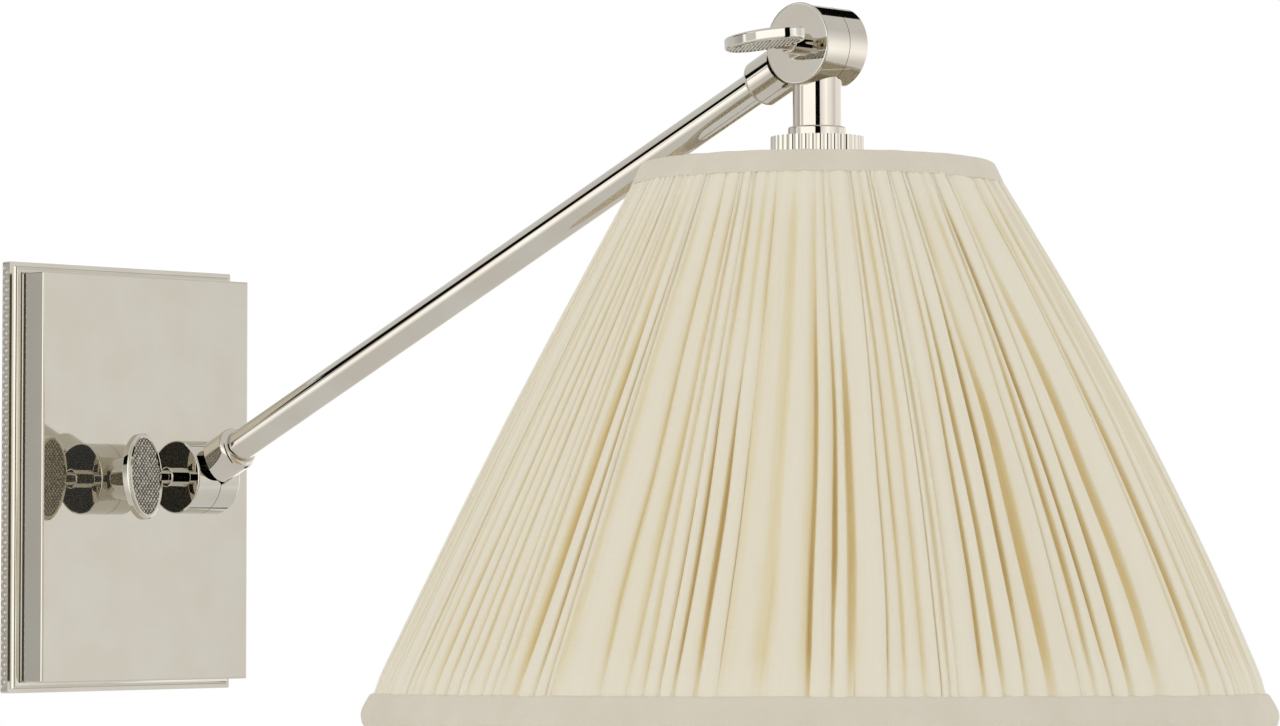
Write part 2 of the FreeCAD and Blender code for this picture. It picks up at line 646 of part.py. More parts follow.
def socket_shell():
    """Thin metal sleeve of the lamp holder, with a rolled lower edge."""
    start, end = below(SOCKET_TOP + SHELL_OVERLAP), below(SOCKET_END)
    sleeve = pipe(SHELL_RADIUS, SHELL_RADIUS - SOCKET_SKIN, start, end)
    bead = Part.makeTorus(SHELL_RADIUS - SOCKET_SKIN / 2, SHELL_BEAD, end, DOWN)
    return sleeve.fuse(bead).removeSplitter()


def socket_liner():
    start, end = below(SOCKET_TOP + LINER_TOP_INSET), below(SOCKET_END - LINER_END_INSET)
    return pipe(LINER_RADIUS, LINER_RADIUS - LINER, start, end)


def socket_base():
    """Porcelain disc with two wire holes."""
    disc = rod(BASE_RADIUS, below(SOCKET_BASE_TOP), below(SOCKET_BASE_END))
    for side in (1, -1):
        top = below(SOCKET_BASE_TOP) + V(NEAR_WIRE_X, side * WIRE_SPACING / 2, 0)
        disc = disc.cut(rod(WIRE_RADIUS + RUNNING_GAP, top, top + DOWN * PORCELAIN_HOLE_DEPTH))
    return disc


def screw_shell():
    start, end = below(SOCKET_BASE_END), below(SOCKET_END - SCREW_SHELL_INSET)
    return pipe(SCREW_SHELL_RADIUS, SCREW_SHELL_RADIUS - SCREW_SHELL_SKIN, start, end)


def centre_contact():
    return rod(CONTACT_RADIUS, below(SOCKET_BASE_END), below(BULB_TIP_TOP - CONTACT_GAP))


def neck_wires():
    return straight_wires(below(WIRE_START), below(SOCKET_BASE_TOP + PORCELAIN_HOLE_DEPTH), NEAR_WIRE_X)


def bulb_tip():
    return Part.makeCone(*BULB_TIP_RADII, BULB_TIP_HEIGHT, below(BULB_TIP_TOP), DOWN)


def bulb_insulator():
    top = below(BULB_TIP_TOP + BULB_TIP_HEIGHT)
    return Part.makeCone(BULB_TIP_RADII[1], INSULATOR_RADIUS, INSULATOR_HEIGHT, top, DOWN)


def bulb_screw():
    """Metal screw cap of the bulb; its rounded thread is drawn as rings."""
    top, end = below(BULB_SCREW_TOP), below(BULB_NECK)
    inner = BULB_SCREW_ROOT - BULB_SCREW_SKIN
    barrel = pipe(BULB_SCREW_ROOT, inner, top, end)
    levels = [BULB_SCREW_TOP + THREAD_START + THREAD_PITCH * i for i in range(THREAD_TURNS)]
    crests = [Part.makeTorus(BULB_SCREW_ROOT - THREAD_SINK, THREAD_HEIGHT, below(d), DOWN) for d in levels]
    return barrel.multiFuse(crests).cut(rod(inner, top, end)).removeSplitter()


def bulb_envelope(shrink):
    """Solid inside of the bulb's glass, or with no shrink its outside: a ball and a flare up to the neck."""
    centre_below = BULB_END - BULB_RADIUS
    neck, ball = BULB_NECK_RADIUS - shrink, BULB_RADIUS - shrink
    join = math.radians(GLASS_JOIN_DEG)

    def spot(radius, down):
        return below(down) + V(radius, 0, 0)

    def on_ball(angle):
        return spot(ball * math.sin(angle), centre_below - ball * math.cos(angle))

    top = BULB_NECK + GLASS_STEM_PLAY + shrink
    bottom = below(centre_below + ball)
    flare = Part.BSplineCurve()
    flare.interpolate(
        Points=[spot(neck, top), on_ball(join)],
        InitialTangent=DOWN * GLASS_FLARE_PULL,
        FinalTangent=V(math.cos(join), 0, -math.sin(join)) * GLASS_FLARE_PULL,
    )
    edges = [
        Part.LineSegment(below(top), spot(neck, top)).toShape(),
        flare.toShape(),
        Part.Arc(on_ball(join), on_ball(math.pi / 2), bottom).toShape(),
        Part.LineSegment(bottom, below(top)).toShape(),
    ]
    return Part.Face(Part.Wire(edges)).revolve(UPPER_AXIS, V(0, 0, 1), 360)


def bulb_glass():
    """Pear-shaped envelope, hollow, its neck inside the screw cap."""
    stem_radius = BULB_SCREW_ROOT - BULB_SCREW_SKIN - RUNNING_GAP
    stem_top = below(BULB_NECK - GLASS_STEM)
    stem = rod(stem_radius, stem_top, below(BULB_NECK + GLASS_STEM_PLAY + GLASS))
    bore = rod(stem_radius - GLASS, stem_top, below(BULB_NECK + GLASS_STEM_PLAY + 2 * GLASS))
    return bulb_envelope(0).fuse(stem).cut(bulb_envelope(GLASS).fuse(bore)).removeSplitter()


# ---- shade -----------------------------------------------------------------------------------------


def fabric_radius(down, inset=0.0):
    """Outside of the fabric at a distance below the upper axis: a straight flare with a slight bulge."""
    share = (down - FABRIC_TOP) / (FABRIC_BOTTOM - FABRIC_TOP)
    flare = TRIM_FOOT_RADIUS + (FABRIC_FOOT_RADIUS - TRIM_FOOT_RADIUS) * share
    return flare + 4 * FABRIC_BULGE * share * (1 - share) - inset


def cone_layer(outer_inset, inner_inset):
    """Layer of the shade between two depths under the fabric's outside."""
    levels = (FABRIC_TOP, (FABRIC_TOP + FABRIC_BOTTOM) / 2, FABRIC_BOTTOM)

    def curve(inset):
        start, middle, end = [UPPER_AXIS + V(fabric_radius(d, inset), 0, -d) for d in levels]
        return Part.Arc(start, middle, end).toShape(), start, end

    outer, outer_top, outer_end = curve(outer_inset)
    inner, inner_top, inner_end = curve(inner_inset)
    edges = [
        outer,
        Part.LineSegment(outer_end, inner_end).toShape(),
        inner,
        Part.LineSegment(inner_top, outer_top).toShape(),
    ]
    return Part.Face(Part.Wire(Part.__sortEdges__(edges))).revolve(UPPER_AXIS, V(0, 0, 1), 360)


def shade_fabric():
    return cone_layer(0, FABRIC_DEPTH)


def shade_lining():
    start = FABRIC_DEPTH + LINING_GAP
    return cone_layer(start, start + LINING)


def wire_ring(place, radius):
    return Part.makeTorus(place[0], radius, below(place[1]), V(0, 0, 1))


def top_wire():
    return wire_ring(TOP_WIRE_PLACE, TOP_WIRE_RADIUS)


def bottom_wire():
    return wire_ring(BOTTOM_WIRE_PLACE, BOTTOM_WIRE_RADIUS)


def top_trim():
    """Bound edge folded over the top wire; the spokes come in through its inner side."""
    inner = TOP_TRIM_RADIUS - 5.0
    section = [
        (TOP_TRIM_RADIUS - 1.0, RIM),
        (TOP_TRIM_RADIUS, RIM + 1.0),
        (TRIM_FOOT_RADIUS + 0.4, FABRIC_TOP),
        (TRIM_FOOT_RADIUS + 0.4 - TRIM_DEPTH, FABRIC_TOP),
        (inner, RIM + 2.0),
        (inner + 1.0, RIM),
    ]
    trim = turned(section, UPPER_AXIS).cut(wire_ring(TOP_WIRE_PLACE, TOP_WIRE_RADIUS + RUNNING_GAP))
    return trim.cut(Part.makeCompound(spokes(SPOKE_RADIUS + RUNNING_GAP, TOP_WIRE_PLACE[0])))


def bottom_trim():
    """Fuller bound edge over the bottom wire."""
    inner = FABRIC_FOOT_RADIUS - TRIM_DEPTH
    section = [
        (FABRIC_FOOT_RADIUS + 0.4, FABRIC_BOTTOM),
        (BOTTOM_TRIM_RADIUS - 1.2, FABRIC_BOTTOM + 3.4),
        (BOTTOM_TRIM_RADIUS, FABRIC_BOTTOM + 6.8),
        (BOTTOM_TRIM_RADIUS - 0.6, SHADE_BOTTOM - 2.2),
        (BOTTOM_TRIM_RADIUS - 2.6, SHADE_BOTTOM),
        (BOTTOM_TRIM_RADIUS - 6.4, SHADE_BOTTOM),
        (BOTTOM_TRIM_RADIUS - 7.6, SHADE_BOTTOM - 2.0),
        (inner, FABRIC_BOTTOM),
    ]
    return turned(section, UPPER_AXIS).cut(wire_ring(BOTTOM_WIRE_PLACE, BOTTOM_WIRE_RADIUS + RUNNING_GAP))


def shade_ribs():
    """Straight wires from trim to trim, in the gap between fabric and lining."""
    depth = FABRIC_DEPTH + LINING_GAP / 2
    ribs = []
    for i in range(RIBS):
        angle = 2 * math.pi * (i + 0.5) / RIBS
        out = V(math.cos(angle), math.sin(angle), 0)
        levels = (FABRIC_TOP + RIB_END_GAP, (FABRIC_TOP + FABRIC_BOTTOM) / 2, FABRIC_BOTTOM - RIB_END_GAP)
        start, middle, end = [below(d) + out * fabric_radius(d, depth) for d in levels]
        bow = Part.Wire(Part.Arc(start, middle, end).toShape())
        tangent = bow.Edges[0].tangentAt(bow.Edges[0].FirstParameter)
        section = Part.Wire(Part.Circle(start, tangent, RIB_RADIUS).toShape())
        ribs.append(bow.makePipeShell([section], True, False))
    return Part.makeCompound(ribs)


# ---- every sub-part --------------------------------------------------------------------------------

NODES = {
    "back_plate": back_plate,
    "cover": cover,
    "lock_screws": lock_screws,
    "mounting_bar": mounting_bar,
    "ground_screw": ground_screw,
    "post_collar": post_collar,
    "post_nipple": post_nipple,
    "post_washer": post_washer,
    "post_nut": post_nut,
    "supply_wires": supply_wires,
    "wire_connectors": wire_connectors,
    "wall_knuckle": wall_knuckle,
    "lower_key": lambda: thumb_key(LOWER_AXIS, LOWER_KEY_TURN_DEG),
    "lower_key_screw": lambda: key_screw(LOWER_AXIS),
    "lower_friction_washer": lambda: friction_washer(LOWER_AXIS),
    "arm_lower_knuckle": arm_lower_knuckle,
    "arm_tube": arm_tube,
    "arm_wires": arm_wires,
    "arm_upper_knuckle": arm_upper_knuckle,
    "upper_friction_washer": lambda: friction_washer(UPPER_AXIS),
    "upper_key": lambda: thumb_key(UPPER_AXIS, UPPER_KEY_TURN_DEG),
    "upper_key_screw": lambda: key_screw(UPPER_AXIS),
    "head_knuckle": head_knuckle,
    "neck_collar": neck_collar,
    "reeded_cap": reeded_cap,
    "head_nipple": head_nipple,
    "neck_wires": neck_wires,
    "shade_spider": shade_spider,
    "spider_nut": spider_nut,
    "socket_cap": socket_cap,
    "socket_nut": socket_nut,
    "socket_shell": socket_shell,
    "socket_liner": socket_liner,
    "socket_base": socket_base,
    "screw_shell": screw_shell,
    "centre_contact": centre_contact,
    "bulb_tip": bulb_tip,
    "bulb_insulator": bulb_insulator,
    "bulb_screw": bulb_screw,
    "bulb_glass": bulb_glass,
    "top_wire": top_wire,
    "bottom_wire": bottom_wire,
    "shade_ribs": shade_ribs,
    "shade_lining": shade_lining,
    "shade_fabric": shade_fabric,
    "top_trim": top_trim,
    "bottom_trim": bottom_trim,
}

os.makedirs("parts", exist_ok=True)
for name, build in NODES.items():
    shape = build()
    shape.exportStep(os.path.join("parts", name + ".step"))
    print(f"{name}: {len(shape.Solids)} solids, {shape.Volume / 1000:.2f} cm3, valid {shape.isValid()}")
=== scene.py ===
import json
import math
import random

import bpy
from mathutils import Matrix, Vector, noise

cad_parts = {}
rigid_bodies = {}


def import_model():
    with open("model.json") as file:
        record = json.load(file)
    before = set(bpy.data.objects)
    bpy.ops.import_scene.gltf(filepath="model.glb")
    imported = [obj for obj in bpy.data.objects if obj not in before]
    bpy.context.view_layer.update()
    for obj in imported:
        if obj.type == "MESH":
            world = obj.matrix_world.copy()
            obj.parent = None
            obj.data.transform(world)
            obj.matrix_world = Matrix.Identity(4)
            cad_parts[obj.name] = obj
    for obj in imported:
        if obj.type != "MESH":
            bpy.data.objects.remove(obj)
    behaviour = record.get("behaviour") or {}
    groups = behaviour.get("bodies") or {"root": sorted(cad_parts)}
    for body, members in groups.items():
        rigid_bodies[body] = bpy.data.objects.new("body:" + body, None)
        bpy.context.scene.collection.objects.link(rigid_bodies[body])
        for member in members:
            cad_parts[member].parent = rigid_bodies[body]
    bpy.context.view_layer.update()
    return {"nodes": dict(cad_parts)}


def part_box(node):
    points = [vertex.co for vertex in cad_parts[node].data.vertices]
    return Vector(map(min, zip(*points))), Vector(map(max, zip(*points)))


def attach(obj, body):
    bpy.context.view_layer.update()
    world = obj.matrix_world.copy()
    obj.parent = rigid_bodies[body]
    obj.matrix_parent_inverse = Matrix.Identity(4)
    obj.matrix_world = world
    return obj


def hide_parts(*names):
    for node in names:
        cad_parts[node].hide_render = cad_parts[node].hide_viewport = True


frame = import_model()
nodes = frame["nodes"]
bpy.ops.object.select_all(action="DESELECT")

# ---- studio ----------------------------------------------------------------------------------------
# The lamp is seen from its left and a little from below, through a long lens. Polished metal shows
# what stands round it: a grey room, long white windows left and right, and the dark frames between.
CAMERA_PLACE = (-1.276, -1.5056, -0.0338)
CAMERA_TURN = (math.radians(92.4), 0, math.radians(-46.66))
FOCAL_LENGTH = 132.2
ROOM_LEVEL = 0.76
# brightness round the horizon: degrees from straight into the room, positive to the right
HORIZON = [
    (-180, 0.76), (-160, 0.72), (-144, 0.5), (-140.5, 0.5), (-138, 1.3), (-132, 1.55), (-57, 1.55),
    (-36, 1.0), (-23, 1.22), (-8, 1.5), (4, 1.5), (16, 1.38), (28, 1.08), (38, 0.95), (41, 0.93), (44, 0.85),
    (48, 1.42), (58, 1.3), (74, 1.3), (90, 1.4), (120, 1.6), (130, 1.4), (138, 0.8), (180, 0.76),
]
# how much of that light shows at each height, in degrees: the left windows are low, the right ones tall
LEFT_REACH = [(-90, 0), (-21, 0), (-12, 0.5), (-3, 1), (14, 1), (30, 0), (90, 0)]
RIGHT_REACH = [
    (-90, 0), (-44, 0), (-28, 0.1), (-14, 0.85), (-8, 1), (2, 0.85), (14, 0.35), (26, 0), (90, 0),
]
# black and grey cards round the lamp: degrees round from, to, degrees up from, to, and brightness
CARDS = [
    (-57, -36, -60, 50, 0.003), (-165, -137, 11.5, 23, 0.003), (-134.5, -118, 4.6, 13, 0.8),
    (118, 133, -27, 27, 1.3), (88.5, 118, 32, 43, 0.003), (72, 117, -44, -31.5, 0.003),
]

bpy.ops.object.camera_add(location=CAMERA_PLACE, rotation=CAMERA_TURN)
camera = bpy.context.object
camera.data.lens = FOCAL_LENGTH
bpy.context.scene.camera = camera
bpy.context.scene.view_settings.view_transform = "Standard"


def add_node(owner, kind, inputs=None, stops=None, **settings):
    """Adds a node to a material or world: its settings, its ramp's stops, and its inputs, which are
    values or the outputs they come from. Gives back its first shown output."""
    node = owner.node_tree.nodes.new(kind)
    for name, value in settings.items():
        setattr(node, name, value)
    if stops:
        elements = node.color_ramp.elements
        while len(elements) < len(stops):
            elements.new(1.0)
        for element, (position, shade) in zip(elements, stops):
            element.position = position
            element.color = shade
    for name, value in (inputs or {}).items():
        if isinstance(value, bpy.types.NodeSocket):
            owner.node_tree.links.new(value, node.inputs[name])
        else:
            node.inputs[name].default_value = value
    return next((socket for socket in node.outputs if socket.enabled), None)


def hang_card(light, sides, heights, level, edge=1.0):
    """Puts a card of its own brightness between two bearings and two heights, all in degrees."""
    inside = 1.0
    for bearing, (start, end) in ((azimuth, sides), (elevation, heights)):
        for outer, inner in ((start - edge, start + edge), (end + edge, end - edge)):
            part = add_node(studio, "ShaderNodeMapRange", {
                "Value": bearing, "From Min": math.radians(outer), "From Max": math.radians(inner),
            }, interpolation_type="SMOOTHSTEP")
            inside = add_node(studio, "ShaderNodeMath", {0: part, 1: inside}, operation="MULTIPLY")
    return add_node(studio, "ShaderNodeMix", {
        "Factor": inside, "A": light, "B": (level, level, level, 1),
    }, data_type="RGBA")


studio = bpy.data.worlds.new("studio")
studio.use_nodes = True
studio.node_tree.nodes.clear()
bpy.context.scene.world = studio
direction = add_node(studio, "ShaderNodeTexCoord")
sideways, outward, upward = add_node(studio, "ShaderNodeSeparateXYZ", {0: direction}).node.outputs
into_room = add_node(studio, "ShaderNodeMath", {0: outward, 1: -1.0}, operation="MULTIPLY")
azimuth = add_node(studio, "ShaderNodeMath", {0: sideways, 1: into_room}, operation="ARCTAN2")
elevation = add_node(studio, "ShaderNodeMath", {0: upward}, operation="ARCSINE")
turn = add_node(studio, "ShaderNodeMapRange", {"Value": azimuth, "From Min": -math.pi, "From Max": math.pi})
ring = add_node(
    studio, "ShaderNodeValToRGB", {"Fac": turn},
    stops=[((degrees + 180) / 360, (level, level, level, 1)) for degrees, level in HORIZON],
)
height = add_node(studio, "ShaderNodeMapRange", {
    "Value": elevation, "From Min": -math.pi / 2, "From Max": math.pi / 2,
})
left_reach, right_reach = [
    add_node(studio, "ShaderNodeValToRGB", {"Fac": height}, stops=[
        ((degrees + 90) / 180, (share, share, share, 1)) for degrees, share in reach
    ])
    for reach in (LEFT_REACH, RIGHT_REACH)
]
to_the_right = add_node(studio, "ShaderNodeMath", {0: azimuth, 1: 0.0}, operation="GREATER_THAN")
window_reach = add_node(studio, "ShaderNodeMix", {
    "Factor": to_the_right, "A": left_reach, "B": right_reach,
}, data_type="RGBA")
light = add_node(studio, "ShaderNodeMix", {
    "Factor": window_reach, "A": (ROOM_LEVEL, ROOM_LEVEL, ROOM_LEVEL, 1), "B": ring,
}, data_type="RGBA")
for side_from, side_to, height_from, height_to, level in CARDS:
    light = hang_card(light, (side_from, side_to), (height_from, height_to), level)
room_light = add_node(studio, "ShaderNodeBackground", {"Color": light})
backdrop = add_node(studio, "ShaderNodeBackground", {"Color": (1, 1, 1, 1)})
seen_directly = add_node(studio, "ShaderNodeLightPath")
sky = add_node(studio, "ShaderNodeMixShader", {0: seen_directly, 1: room_light, 2: backdrop})
add_node(studio, "ShaderNodeOutputWorld", {"Surface": sky})


def colour(code):
    """Linear colour from an sRGB hex code."""
    channels = [int(code[i:i + 2], 16) / 255 for i in (1, 3, 5)]
    return tuple(c / 12.92 if c <= 0.04045 else ((c + 0.055) / 1.055) ** 2.4 for c in channels) + (1,)


def start_material(name):
    """Makes a material, and gives it back with where on the piece and on its cloth a point is."""
    material = bpy.data.materials.new(name)
    material.use_nodes = True
    material.node_tree.nodes.clear()
    place = add_node(material, "ShaderNodeTexCoord").node.outputs
    return material, place["Object"], place["UV"]


def finish_material(material, pieces=(), **inputs):
    """Adds the shader, with these inputs, and the output, and gives the finish to CAD pieces."""
    shader = add_node(material, "ShaderNodeBsdfPrincipled", {
        name.replace("_", " "): value for name, value in inputs.items()
    })
    add_node(material, "ShaderNodeOutputMaterial", {"Surface": shader})
    for name in pieces:
        nodes[name].material_slots[0].material = material


# floor: pale painted plaster, matt, with faint cloudy brush marks a few decimetres wide
FLOOR_LEVEL = -1.4
FLOOR_SIZE = 9.0
BRUSH_MARK = 0.3
painted_floor, spot, _ = start_material("painted_plaster")
clouds = add_node(painted_floor, "ShaderNodeTexNoise", {"Vector": spot, "Scale": 1 / BRUSH_MARK})
plaster = add_node(painted_floor, "ShaderNodeMix", {
    "Factor": clouds, "A": colour("#EFEEEA"), "B": colour("#E8E7E3"),
}, data_type="RGBA")
finish_material(painted_floor, Base_Color=plaster, Roughness=0.8)
bpy.ops.mesh.primitive_plane_add(size=FLOOR_SIZE, location=(0, 0, FLOOR_LEVEL))
floor = bpy.context.object
floor.name = "floor"
floor.data.materials.append(painted_floor)
floor.visible_glossy = False
bpy.ops.object.transform_apply(location=True)
bpy.ops.object.select_all(action="DESELECT")

# ---- mounting bar and pipe fittings ----------------------------------------------------------------
# A steel strap that two machine screws hold to the wall box, with a brass earthing screw. The nipples,
# washers and nuts that clamp the lamp together are steel too, all bright zinc plated.
MM = 0.001

# bright zinc plate on steel: pale blue-grey with clouded patches a few millimetres wide, which give
# the metal a dull, uneven gleam, over the fine grain of rolled steel
zinc_plate, spot, _ = start_material("zinc_plated_steel")
patches = add_node(zinc_plate, "ShaderNodeTexNoise", {"Vector": spot, "Scale": 1 / (5 * MM), "Detail": 4.0})
grain = add_node(zinc_plate, "ShaderNodeTexNoise", {"Vector": spot, "Scale": 1 / (0.4 * MM)})
finish_material(
    zinc_plate,
    ["mounting_bar", "post_nipple", "post_washer", "post_nut", "head_nipple", "spider_nut", "socket_nut"],
    Base_Color=add_node(zinc_plate, "ShaderNodeMix", {
        "Factor": patches, "A": colour("#BCBFC0"), "B": colour("#989DA1"),
    }, data_type="RGBA"),
    Metallic=1.0,
    Roughness=add_node(zinc_plate, "ShaderNodeMapRange", {"Value": patches, "To Min": 0.22, "To Max": 0.48}),
    Normal=add_node(zinc_plate, "ShaderNodeBump", {"Height": grain, "Distance": 0.01 * MM}),
)

# turned brass, unlacquered: warm yellow metal, browner where it has begun to tarnish
turned_brass, spot, _ = start_material("turned_brass")
tarnish = add_node(turned_brass, "ShaderNodeTexNoise", {"Vector": spot, "Scale": 1 / (3 * MM), "Detail": 4.0})
finish_material(
    turned_brass,
    ["ground_screw", "screw_shell", "centre_contact", "bulb_tip"],
    Base_Color=add_node(turned_brass, "ShaderNodeMix", {
        "Factor": tarnish, "A": colour("#DDBA6B"), "B": colour("#B08A44"),
    }, data_type="RGBA"),
    Metallic=1.0,
    Roughness=add_node(turned_brass, "ShaderNodeMapRange", {
        "Value": tarnish, "To Min": 0.18, "To Max": 0.42,
    }),
)

# ---- wires -----------------------------------------------------------------------------------------
# Two stranded wires run from the wall box through the post, the arm and the neck to the lamp holder.
# Twist-on connectors join them to the house wires.

# extruded PVC: off-white and satin, with a drawn waviness about a millimetre long
extruded_pvc, spot, _ = start_material("extruded_pvc")
drawn = add_node(extruded_pvc, "ShaderNodeTexNoise", {"Vector": spot, "Scale": 1 / (1.2 * MM)})
finish_material(
    extruded_pvc,
    ["supply_wires", "arm_wires", "neck_wires"],
    Base_Color=add_node(extruded_pvc, "ShaderNodeMix", {
        "Factor": drawn, "A": colour("#EBE8DE"), "B": colour("#DAD6C8"),
    }, data_type="RGBA"),
    Roughness=add_node(extruded_pvc, "ShaderNodeMapRange", {"Value": drawn, "To Min": 0.32, "To Max": 0.52}),
    Normal=add_node(extruded_pvc, "ShaderNodeBump", {"Height": drawn, "Distance": 0.03 * MM}),
)

# moulded polypropylene: orange, with the fine grain that a spark-eroded mould leaves
moulded_plastic, spot, _ = start_material("moulded_polypropylene")
eroded = add_node(moulded_plastic, "ShaderNodeTexNoise", {"Vector": spot, "Scale": 1 / (0.5 * MM)})
finish_material(
    moulded_plastic,
    ["wire_connectors"],
    Base_Color=add_node(moulded_plastic, "ShaderNodeMix", {
        "Factor": eroded, "A": colour("#DB7430"), "B": colour("#C4601C"),
    }, data_type="RGBA"),
    Roughness=0.45,
    Normal=add_node(moulded_plastic, "ShaderNodeBump", {"Height": eroded, "Distance": 0.03 * MM}),
)

# ---- back plate ------------------------------------------------------------------------------------
# A thin brass plate against the wall, nickel plated and polished with the rest of the lamp. Its two
# upright edges carry two staggered rows of fine beads, rolled into the brass before plating.

# polished nickel plate: a warm, slightly yellow mirror. The buffing wheel leaves hazy clouds a few
# centimetres long, a shade pinker, and hair-fine scratches that only soften the reflections
CLOUD = 24 * MM
SCRATCH = 0.6 * MM
polished_nickel, spot, _ = start_material("polished_nickel")
along = add_node(polished_nickel, "ShaderNodeMapping", {"Vector": spot, "Scale": (1, 1, 0.05)})
clouds = add_node(polished_nickel, "ShaderNodeTexNoise", {"Vector": spot, "Scale": 1 / CLOUD, "Detail": 3.0})
scratches = add_node(polished_nickel, "ShaderNodeTexNoise", {"Vector": along, "Scale": 1 / SCRATCH})
haze = add_node(polished_nickel, "ShaderNodeMath", {0: clouds, 1: scratches}, operation="MULTIPLY")
finish_material(
    polished_nickel,
    [
        "lock_screws", "post_collar", "wall_knuckle", "arm_lower_knuckle", "arm_tube", "arm_upper_knuckle",
        "head_knuckle", "lower_key", "lower_key_screw", "upper_key", "upper_key_screw", "neck_collar",
        "reeded_cap", "socket_cap", "socket_shell",
    ],
    Base_Color=add_node(polished_nickel, "ShaderNodeMix", {
        "Factor": add_node(polished_nickel, "ShaderNodeMapRange", {
            "Value": clouds, "From Min": 0.35, "From Max": 0.65,
        }),
        "A": colour("#D5D1C5"), "B": colour("#D2CABE"),
    }, data_type="RGBA"),
    Metallic=1.0,
    Roughness=add_node(polished_nickel, "ShaderNodeMapRange", {
        "Value": haze, "From Min": 0.1, "From Max": 0.45, "To Min": 0.02, "To Max": 0.07,
    }),
)

# the same nickel on flat sheet: large faces can't be buffed as hard as turned parts, so a thin veil of
# haze lies over their reflections, and the dark ones turn olive brown
nickel_sheet, spot, _ = start_material("nickel_plated_sheet")
veils = add_node(nickel_sheet, "ShaderNodeTexNoise", {"Vector": spot, "Scale": 1 / CLOUD, "Detail": 3.0})
finish_material(
    nickel_sheet,
    ["back_plate", "cover"],
    Base_Color=add_node(nickel_sheet, "ShaderNodeMix", {
        "Factor": add_node(nickel_sheet, "ShaderNodeMapRange", {
            "Value": veils, "From Min": 0.35, "From Max": 0.65,
        }),
        "A": colour("#D7D3C6"), "B": colour("#D5CEC1"),
    }, data_type="RGBA"),
    Metallic=0.93,
    Roughness=add_node(nickel_sheet, "ShaderNodeMapRange", {"Value": veils, "To Min": 0.02, "To Max": 0.05}),
    Specular_IOR_Level=0.3,
)

BEAD_RADIUS = 1.0 * MM
BEAD_PITCH = 3.55 * MM
BEAD_ROWS = (0.3, 0.72)  # through the plate's thickness, from the wall
low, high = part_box("back_plate")
for side in (1, -1):
    for row, share in enumerate(BEAD_ROWS):
        count = int((high.z - low.z - 2 * BEAD_RADIUS) / BEAD_PITCH) - row
        bpy.ops.mesh.primitive_ico_sphere_add(
            subdivisions=2, radius=BEAD_RADIUS,
            location=(side * high.x, share * low.y, -BEAD_PITCH * (count - 1) / 2),
        )
        bead = bpy.context.object
        bpy.ops.object.mode_set(mode="EDIT")
        bpy.ops.mesh.bisect(
            plane_co=(side * (high.x - 0.2 * BEAD_RADIUS), 0, 0), plane_no=(side, 0, 0), clear_inner=True,
        )
        bpy.ops.object.mode_set(mode="OBJECT")
        column = bead.modifiers.new("column", "ARRAY")
        column.count = count
        column.use_relative_offset = False
        column.use_constant_offset = True
        column.constant_offset_displace = (0, 0, BEAD_PITCH)
        bpy.ops.object.modifier_apply(modifier="column")
        bpy.ops.object.transform_apply(location=True)
        bead.name = "beads"
        bead.select_set(False)
for beads in [o for o in bpy.context.scene.objects if o.name.startswith("beads")]:
    beads.select_set(True)
    bpy.context.view_layer.objects.active = beads
bpy.ops.object.join()
plate_beading = bpy.context.object
plate_beading.name = "plate_beading"
plate_beading.data.materials.append(polished_nickel)
bpy.ops.object.shade_smooth()
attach(plate_beading, "wall_bracket")
bpy.ops.object.select_all(action="DESELECT")

# ---- cover and its foot moulding -------------------------------------------------------------------
# A box drawn from sheet brass, its edges slightly rounded, which stands on the back plate over the
# wires. A small quarter-round moulding is soldered round its foot.
FOOT_WIDTH = 2.6 * MM
FOOT_HEIGHT = 2.0 * MM
FOOT_STEPS = 6
plate_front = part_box("back_plate")[0].y
cover_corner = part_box("cover")[1]
bpy.ops.mesh.primitive_plane_add(size=2, location=(0, plate_front, 0), rotation=(math.pi / 2, 0, 0))
foot = bpy.context.object
foot.name = "cover_foot_moulding"
foot.scale = (cover_corner.x, cover_corner.z, 1)
bpy.ops.object.transform_apply(location=True, rotation=True, scale=True)
bpy.ops.object.mode_set(mode="EDIT")
bpy.ops.mesh.select_all(action="SELECT")
bpy.ops.mesh.delete(type="ONLY_FACE")
bpy.ops.mesh.select_all(action="SELECT")
stand, rise = 0.0, 0.0
for step in range(FOOT_STEPS + 1):
    angle = math.pi / 2 * step / FOOT_STEPS
    out = FOOT_WIDTH * math.cos(angle)
    up = FOOT_HEIGHT * math.sin(angle)
    bpy.ops.mesh.extrude_edges_move(TRANSFORM_OT_translate={"value": (0, rise - up, 0)})
    wider = (cover_corner.x + out) / (cover_corner.x + stand)
    taller = (cover_corner.z + out) / (cover_corner.z + stand)
    bpy.ops.transform.resize(value=(wider, 1, taller), center_override=(0, 0, 0))
    stand, rise = out, up
bpy.ops.mesh.select_all(action="SELECT")
bpy.ops.mesh.normals_make_consistent(inside=False)
bpy.ops.object.mode_set(mode="OBJECT")
foot.data.materials.append(nickel_sheet)
bpy.ops.object.shade_smooth_by_angle(angle=math.radians(40))
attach(foot, "wall_bracket")
bpy.ops.object.select_all(action="DESELECT")

# ---- knuckles --------------------------------------------------------------------------------------
# Each is two turned brass half drums on one screw, nickel plated. A fibre washer between the halves
# sets how stiffly they turn.

